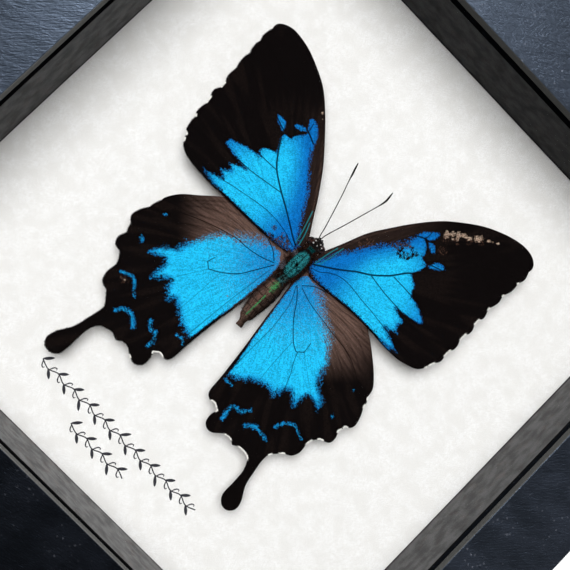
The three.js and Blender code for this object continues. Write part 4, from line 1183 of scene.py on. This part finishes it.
def trunk():
    """The trunk with its rings and furrow, closed at both ends."""
    places, faces = rod(TRUNK, 0.16, 72)
    y = places[:, 1]
    middle = trunk_at(y, 0)
    out = places - np.column_stack([middle, y, trunk_at(y, 2)])
    ring = np.mod(ABDOMEN_TOP - y, SEGMENT) / SEGMENT
    belly = (y < ABDOMEN_TOP) & (y > -19)
    swell = np.where(belly, 0.045 * np.sin(math.pi * ring) - 0.05 * np.exp(-((ring * 12) ** 2)), 0)
    keel = np.where(belly, 0.05 * np.exp(-(((places[:, 0] - middle) / 0.4) ** 2)), 0)
    chest = ease(y, 0, 1.5) * (1 - ease(y, 9, 10.4))
    furrow = -0.05 * np.exp(-(((places[:, 0] - middle) / 0.35) ** 2)) * chest
    lobes = 0.03 * np.exp(-(((np.abs(places[:, 0] - middle) - 1.3) / 0.7) ** 2)) * chest
    places = places + out * (swell + keel + furrow + lobes)[:, None]
    return places, faces


def hair_coat(chance):
    """Hair at the neck, over the wing joints and along the sides, each lock combed backwards."""
    roots, headings, lengths, fair = [], [], [], []
    for y_low, y_high, tilt_low, tilt_high, number, longest in HAIR_BANDS:
        for _ in range(number):
            y = chance.uniform(y_low, y_high)
            side = chance.choice((-1, 1))
            tilt = chance.uniform(tilt_low, tilt_high)
            middle, height, half_width, half_height = (trunk_at(y, column) for column in (0, 2, 3, 4))
            out = np.array((side * math.cos(tilt), 0, math.sin(tilt)))
            roots.append(np.array((middle, y, height)) + out * (half_width, 0, half_height) * 0.97)
            combed = np.array((0, chance.normal(-0.5, 0.7), chance.normal(0.1, 0.2)))
            headings.append(out * (1.0, 0, 0.5) + combed)
            lengths.append(chance.uniform(0.4, 1) * longest)
            tuft = side < 0 and (abs(y - 2.2) < 0.9 or abs(y - 7.6) < 0.6)
            fair.append(GREY_HAIR if tuft and chance.uniform() < 0.6 else chance.uniform() ** 3.5)
    widths = chance.uniform(0.03, 0.06, len(roots))
    hairs = strands(np.array(roots), np.array(headings), lengths, widths, chance)
    return hairs, np.repeat(fair, HAIR_POINTS)


def body_finish():
    finish = Finish("body_chitin")
    x, y, z = finish.axes()
    off = finish.away(x, MIDLINE + 0.05)
    scale = finish.flecks((0.16, 0.26, 0.2))
    fine = finish.flecks((0.1, 0.14, 0.12), 0.4)
    blotch = finish.grain((0.9, 1.3, 1), 0, 4)
    streak = finish.grain((0.22, 1.6, 0.3), 0, 3)

    # thorax: an oval of green-blue with a dark middle line and dark sides
    lengthwise = finish.math("DIVIDE", finish.away(y, CHEST_MIDDLE), CHEST_HALF_LENGTH)
    sideways = finish.math("DIVIDE", off, CHEST_HALF_WIDTH)
    oval = finish.plus(finish.math("POWER", lengthwise, 3.0), finish.math("POWER", sideways, 2.4), blotch)
    shiny = finish.times(
        finish.ease(oval, 1.05, 1.6, 1, 0),
        finish.ease(off, 0.0, 0.3, 0.25, 1),
        finish.ease(finish.plus(blotch, finish.times(scale, 0.5)), 0.55, 0.8),
    )
    green = finish.mix(tone(22, 63, 70), tone(50, 154, 160), fine)

    # abdomen: brown, redder on the left, with dark rings; painted shade makes it darker on the right and
    # at both edges, round its sides
    brown = finish.mix(tone(44, 33, 28), tone(112, 88, 77), finish.ease(streak, 0.3, 0.7))
    reddish = finish.times(finish.ease(blotch, 0.5, 0.7, 0, 0.7), finish.ease(x, 0.2, 1.2, 1, 0))
    brown = finish.mix(brown, tone(84, 44, 42), reddish)
    brown = finish.shade(brown, finish.ease(finish.plus(x, finish.times(blotch, 2)), 1.2, 3.0, 1, 0.3))
    brown = finish.shade(brown, finish.ease(off, 1.5, 2.9, 1, 0.35))
    to_ring = finish.math("PINGPONG", finish.minus(y, ABDOMEN_TOP), SEGMENT / 2)
    brown = finish.shade(brown, finish.ease(to_ring, 0.05, 0.4, 0.45, 1))
    dark = finish.mix(tone(4, 4, 4), tone(20, 16, 14), scale)
    skin = finish.mix(dark, brown, finish.ease(y, -3.6, -2.2, 1, 0))
    colour = finish.mix(skin, green, shiny)

    # a dotted green line along the abdomen, and green patches at its root, the waist and the nape
    line = finish.times(
        finish.ease(off, 0.1, 0.34, 1, 0),
        finish.ease(finish.grain((0.5, 0.7, 0.5), 0, 1), 0.36, 0.5),
        finish.ease(y, -17.4, -16, 0, 1),
        finish.ease(y, -3.0, -2.0, 1, 0),
    )
    patch = finish.times(
        finish.ease(off, 0.5, 1.5, 1, 0),
        finish.ease(finish.away(y, -4.6), 0.6, 2.2, 1, 0),
        finish.ease(scale, 0.45, 0.6),
    )
    leaf = finish.mix(tone(16, 74, 58), tone(80, 168, 96), fine)
    colour = finish.mix(colour, leaf, finish.most(line, patch))
    waist = finish.times(
        finish.ease(finish.away(y, -1.0), 0.8, 2.0, 0.8, 0),
        finish.ease(blotch, 0.45, 0.6),
    )
    colour = finish.mix(colour, tone(48, 92, 94), waist)
    nape = finish.times(
        finish.ease(finish.away(y, 11.5), 0.3, 0.8, 1, 0),
        finish.ease(scale, 0.5, 0.6),
        finish.ease(off, 1.0, 1.5, 1, 0),
    )
    colour = finish.mix(colour, tone(8, 74, 76), nape)

    # the eyes are bare, the hair is black and brown with a few grey locks
    eye, hair, fair = finish.mark("eye"), finish.mark("hair"), finish.mark("fair")
    eye_tone = finish.mix(tone(12, 7, 7), tone(52, 34, 30), finish.ease(blotch, 0.45, 0.6))
    colour = finish.mix(colour, eye_tone, eye)
    # painted highlights: small white spots on the top of the head
    colour = finish.mix(colour, tone(186, 184, 182), finish.mark("white"))
    fur = finish.mix(tone(7, 5, 5), tone(78, 52, 43), fair)
    fur = finish.mix(fur, tone(104, 104, 112), finish.ease(fair, GREY_HAIR - 0.4, GREY_HAIR - 0.1))
    colour = finish.mix(colour, fur, hair)

    # scales roughen the skin; the eyes and the head are glossy, and the hair is dull
    facets = finish.flecks((0.09, 0.09, 0.09))
    head = finish.ease(y, 11.8, 12.6)
    scaly = finish.plus(finish.times(scale, 0.6), facets)
    finish.bump(finish.times(scaly, finish.ease(head, 0, 1, 1, 0.15)), 0.03)
    glossy = finish.times(finish.most(eye, head), finish.minus(1.0, hair))
    return finish.coat(
        base_color=colour,
        roughness=finish.ease(glossy, 0, 1, 0.7, 0.16),
        specular_ior_level=finish.ease(glossy, 0, 1, 0.04, 0.5),
    )


def leg(side, y):
    return rod([
        (MIDLINE + side * 1.2, y, 15.6, 0.4, 0.4),
        (MIDLINE + side * 3.4, y - 0.6, 14.3, 0.35, 0.35),
        (MIDLINE + side * 2.2, y - 4.2, 13.5, 0.25, 0.25),
        (MIDLINE + side * 2.8, y - 7.6, 13.1, 0.15, 0.15),
    ], 0.3, 12)


def palp(side):
    return rod([
        (0.55 + side * 0.5, 15.3, 16.9, 0.4, 0.4),
        (0.55 + side * 0.52, 15.9, 17.1, 0.4, 0.38),
        (0.55 + side * 0.48, 16.5, 17.2, 0.24, 0.24),
    ], 0.15, 14)


chance = np.random.default_rng(11)
hard_parts = [trunk()] + [ball(eye, EYE_RADIUS, 24) for eye in EYES]
hard_parts += [leg(side, y) for y in LEG_ROWS for side in (-1, 1)]
hard_parts += [palp(-1), palp(1)]
coat, fair = hair_coat(chance)
places, faces, owner = gather([*hard_parts, coat])
marks = {
    "eye": np.isin(owner, (1, 2)).astype(float),
    "hair": (owner == len(hard_parts)).astype(float),
    "fair": np.concatenate([np.zeros(len(places) - len(coat[0])), fair]),
    "white": ease(spots_field(places, HEAD_GLINTS), 0.4, 0.7) * (places[:, 2] > HEAD_TOP),
}
body = new_piece("specimen_body", places, faces, body_finish(), marks)
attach(body, "root")
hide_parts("body")

# ---- The antennae ------------------------------------------------------------------------------
# Two stiff dark threads of many short joints, each thickening to a club at its tip. They grow from
# the front of the head and were spread with the wings.

SHAFT_HALF = 0.16
CLUB_HALF = 0.3
CLUB_STATIONS = 3  # the route's last points, where the shaft thickens
HORN_HEIGHT = 18.05
HORN_RISE = 0.15  # from one point of the route to the next
HORN_SIDES = 14
RINGS_PER_JOINT = 8
ROUTES = {
    "left": [(-0.1, 15.3), (-0.75, 17.0), (-1.3, 19.2), (-2.7, 23.7), (-4.7, 29.9), (-6.5, 34.9),
             (-7.1, 36.8), (-7.8, 38.8), (-8.4, 40.6)],
    "right": [(0.3, 15.4), (0.4, 17.3), (0.95, 19.6), (2.3, 24.2), (3.9, 30.1), (5.3, 35.3),
              (5.95, 38.3), (5.9, 40.2), (5.6, 42.0)],
}


def antenna_finish():
    finish = Finish("antenna")
    pitted = finish.flecks((0.1, 0.1, 0.1))
    joints = finish.mark("joint")
    colour = finish.mix(tone(20, 17, 16), tone(60, 56, 54), finish.times(joints, pitted))
    colour = finish.mix(colour, tone(9, 8, 7), finish.mark("club"))
    finish.bump(pitted, 0.01)
    return finish.coat(base_color=colour, roughness=0.5, specular_ior_level=0.12)


antenna_material = antenna_finish()
for side, route in ROUTES.items():
    halves = [SHAFT_HALF] * (len(route) - CLUB_STATIONS)
    halves += [CLUB_HALF] * (CLUB_STATIONS - 1) + [CLUB_HALF / 2]
    stations = [
        (x, y, HORN_HEIGHT + i * HORN_RISE, half, half)
        for i, ((x, y), half) in enumerate(zip(route, halves))
    ]
    places, faces = rod(stations, 0.06, HORN_SIDES)
    ring = np.arange(len(places)) // HORN_SIDES
    joint = 0.5 + 0.5 * np.cos(ring * 2 * math.pi / RINGS_PER_JOINT)
    club = ease(ring / ring.max(), 0.78, 0.87)
    centre = places.reshape(-1, HORN_SIDES, 3).mean(1)[ring]
    places = centre + (places - centre) * (0.94 + 0.08 * joint)[:, None]
    marks = {"joint": joint, "club": club}
    piece = new_piece(f"antenna_{side}_horn", places, faces, antenna_material, marks)
    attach(piece, "root")
    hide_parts(f"antenna_{side}")

# ---- The pin -----------------------------------------------------------------------------------
# A black-lacquered steel insect pin, pushed straight down through the thorax into the foam board. It
# alone holds the insect.


def lacquered_steel():
    finish = Finish("pin_steel")
    drawn = finish.grain((0.05, 0.05, 1.5), 0, 2)
    worn = finish.ease(finish.grain((0.2, 0.2, 0.6), 0, 3), 0.6, 0.75)
    colour = finish.mix(tone(18, 18, 20), tone(96, 96, 100), finish.times(worn, 0.5))
    finish.bump(drawn, 0.005)
    return finish.coat(base_color=colour, metallic=1.0, roughness=0.3)


dress("pin", lacquered_steel(), 0.04)

# ---- The label place ---------------------------------------------------------------------------
# Two rows of a running vine, printed on the paper below the insect in dark grey ink: a wavy stem with
# a leaf at every bend. It is ornament only and lies flush with the sheet.

INK_LIFT = 0.02
STEM_HALF = 0.19
LEAF_HALF = 0.5
PAPER_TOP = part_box("mount_paper")[1].z / MM
LABEL_ROWS = (
    # first x, last x, baseline y
    (-33.0, 33.0, -71.9),
    (-13.0, 12.7, -79.7),
)
ROW_MIDDLE = 1.5  # height of the stem above the baseline
BEND_LENGTH = 3.3
STEM_SWAY = 0.55


def pen_stroke(points, half, steps=0.15):
    """A flat ribbon that swells from its ends to its middle, given as half widths at both."""
    line = traced(points, steps)
    heading = np.gradient(line, axis=0)
    normal = np.stack([-heading[:, 1], heading[:, 0]], 1)
    normal /= np.linalg.norm(normal, axis=1)[:, None]
    swell = np.sin(np.linspace(0.06, math.pi - 0.06, len(line)))
    width = half[0] + (half[1] - half[0]) * swell
    sides = np.concatenate([line + normal * width[:, None], line - normal * width[:, None]])
    places = np.column_stack([sides, np.full(len(sides), PAPER_TOP + INK_LIFT)])
    count = len(line)
    return places, [(i, count + i, count + i + 1, i + 1) for i in range(count - 1)]


def ink_finish():
    finish = Finish("label_ink")
    soak = finish.grain((0.3, 0.3, 0.3), 0, 3)
    colour = finish.mix(tone(30, 30, 36), tone(66, 66, 72), soak)
    finish.bump(soak, 0.01)
    return finish.coat(base_color=colour, roughness=0.85, specular_ior_level=0.2)


strokes = []
for first_x, last_x, baseline in LABEL_ROWS:
    middle = baseline + ROW_MIDDLE
    bends = int((last_x - first_x) / BEND_LENGTH)
    stem = [(first_x + i * BEND_LENGTH, middle + STEM_SWAY * (-1) ** i) for i in range(bends + 1)]
    strokes.append(pen_stroke(stem, (STEM_HALF, STEM_HALF)))
    for i, (x, y) in enumerate(stem[:-1]):
        rise = (-1) ** i
        tall = 1.25 if i % 5 == 0 else 1.0
        leaf = [(x, y), (x + 0.9, y + rise * 0.75 * tall), (x + 2.4, y + rise * 2.1 * tall)]
        tendril = [
            (x + 0.4, y),
            (x + 1.1, y - rise * 1.5),
            (x + 1.9, y - rise * 1.9),
            (x + 2.1, y - rise * 1.4),
        ]
        strokes.append(pen_stroke(leaf, (0.04, LEAF_HALF)))
        strokes.append(pen_stroke(tendril, (0.09, 0.2)))
places, faces, _ = gather(strokes)
label = new_piece("label_vine", places, faces, ink_finish(), smooth=False)
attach(label, "root")

# ---- The back ----------------------------------------------------------------------------------
# A brown hardboard panel closes the box. Flat steel framing points, shot into the rebate wall, hold
# it in, and a toothed steel hanger is nailed into a pocket at the top.


def hardboard_finish():
    finish = Finish("hardboard")
    felt = finish.grain((1.8, 0.5, 1), 0.3, 5)
    specks = finish.ease(finish.flecks((0.5, 0.5, 0.5)), 0.9, 1.0)
    screen = finish.grain((0.7, 0.7, 0.7), 0, 2)
    colour = finish.mix(tone(96, 66, 42), tone(134, 98, 66), felt)
    colour = finish.mix(colour, tone(60, 40, 26), finish.times(specks, 0.6))
    finish.bump(finish.plus(felt, screen), 0.08)
    return finish.coat(base_color=colour, roughness=0.8, specular_ior_level=0.3)


def steel_finish(name, bright, dull, roughness):
    finish = Finish(name)
    rolled = finish.grain((0.2, 5, 0.2), 0.2, 3)
    stain = finish.ease(finish.grain((2.5, 2.5, 2.5), 0, 4), 0.45, 0.7)
    colour = finish.mix(bright, dull, stain)
    rough = finish.ease(stain, 0, 1, roughness, roughness + 0.2)
    finish.bump(rolled, 0.01)
    return finish.coat(base_color=colour, roughness=rough, metallic=1.0)


dress("back_panel", hardboard_finish(), 0.2)
fastenings = {
    "framing_point": steel_finish("tab_steel", tone(178, 182, 186), tone(120, 124, 128), 0.3),
    "hanger_strip": steel_finish("hanger_steel", tone(206, 184, 122), tone(150, 128, 80), 0.32),
    "hanger_nail": steel_finish("nail_steel", tone(160, 163, 168), tone(104, 106, 110), 0.35),
}
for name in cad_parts:
    for start, steel in fastenings.items():
        if name.startswith(start):
            dress(name, steel, 0.06)

# ---- Floor, light and camera -------------------------------------------------------------------
# A plain pale sheet lies under the frame. A broad soft lamp hangs almost overhead, a smaller one on the
# top side lights the rails alone and gives them their gloss, and the room is pale. A camera looks down.

FLOOR_SIZE = 6000
FLOOR_LEVEL = -0.2
LAMPS = (
    # name, direction, distance, width, watts, for the rails only
    ("soft_lamp", (-0.24, 0.21, 0.95), 2500, 2500, 92.0, False),
    ("rail_lamp", (-0.44, 0.52, 0.73), 1000, 420, 13.0, True),
)
ROOM_LOW = 2.2  # strength of the room's light from below and from the sides
ROOM_HIGH = 0.03  # and from overhead
ROOM_TURN = (0.45, 0.85)  # sine of the height between which it falls from the one to the other
ROOM_IN_GLOSS = 0.06
PICTURE_WIDTH = 570  # in pixels, as the next two lengths are
FOCAL_LENGTH = 748.5
SHIFT = (29.06, 15.27)
SENSOR = 36
CAMERA_PLACE = Vector((-12.425, -28.153, 245.706))
CAMERA_FORWARD = Vector((0.05289, 0.07353, -0.99589))
CAMERA_TURN = math.radians(45.475)

corners = [
    (FLOOR_SIZE / 2 * side_x, FLOOR_SIZE / 2 * side_y, FLOOR_LEVEL)
    for side_x, side_y in ((-1, -1), (1, -1), (1, 1), (-1, 1))
]
floor_paint = Finish("pale_floor")
floor_paint.coat(base_color=(0.86, 0.86, 0.85, 1), roughness=0.9)
floor = new_piece("floor", corners, [(0, 1, 2, 3)], floor_paint.material)

rails_alone = bpy.data.collections.new("rails_alone")
for side in ("top", "left", "bottom", "right"):
    rails_alone.objects.link(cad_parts[f"rail_{side}"])
for name, direction, distance, width, watts, for_rails in LAMPS:
    lamp = bpy.data.lights.new(name, "AREA")
    lamp.shape = "DISK"
    lamp.size = width * MM
    lamp.energy = watts
    stand = bpy.data.objects.new(name, lamp)
    bpy.context.scene.collection.objects.link(stand)
    toward = Vector(direction).normalized()
    stand.location = toward * distance * MM
    stand.rotation_euler = toward.to_track_quat("Z", "Y").to_euler()
    stand.visible_glossy = for_rails
    if for_rails:
        stand.light_linking.receiver_collection = rails_alone
    stand.visible_transmission = False
    stand.visible_camera = False

room = bpy.data.worlds.new("pale_room")
room.use_nodes = True
bpy.context.scene.world = room
nodes, links = room.node_tree.nodes, room.node_tree.links
sky = nodes["Background"]
outlook = nodes.new("ShaderNodeTexCoord")
split = nodes.new("ShaderNodeSeparateXYZ")
links.new(outlook.outputs["Generated"], split.inputs[0])
fall = nodes.new("ShaderNodeMapRange")
fall.interpolation_type = "SMOOTHSTEP"
for socket, value in zip(fall.inputs[1:5], (*ROOM_TURN, ROOM_LOW, ROOM_HIGH)):
    socket.default_value = value
links.new(split.outputs[2], fall.inputs[0])
ray = nodes.new("ShaderNodeLightPath")
share = nodes.new("ShaderNodeMapRange")
share.inputs[3].default_value = 1.0
share.inputs[4].default_value = ROOM_IN_GLOSS
links.new(ray.outputs["Is Glossy Ray"], share.inputs[0])
level = nodes.new("ShaderNodeMath")
level.operation = "MULTIPLY"
links.new(fall.outputs[0], level.inputs[0])
links.new(share.outputs[0], level.inputs[1])
links.new(level.outputs[0], sky.inputs["Strength"])
sky.inputs["Color"].default_value = (1, 1, 1, 1)

camera = bpy.data.objects.new("camera", bpy.data.cameras.new("camera"))
bpy.context.scene.collection.objects.link(camera)
camera.data.sensor_width = SENSOR
camera.data.lens = FOCAL_LENGTH * SENSOR / PICTURE_WIDTH
camera.data.shift_x = SHIFT[0] / PICTURE_WIDTH
camera.data.shift_y = SHIFT[1] / PICTURE_WIDTH
camera.data.clip_start = 0.005
up_hint = Vector((-math.sin(CAMERA_TURN), math.cos(CAMERA_TURN), 0))
right = CAMERA_FORWARD.cross(up_hint).normalized()
up = right.cross(CAMERA_FORWARD).normalized()
turn = Matrix((right, up, -CAMERA_FORWARD)).transposed().to_4x4()
camera.matrix_world = Matrix.Translation(CAMERA_PLACE * MM) @ turn
bpy.context.scene.camera = camera
bpy.context.scene.view_settings.view_transform = "Standard"
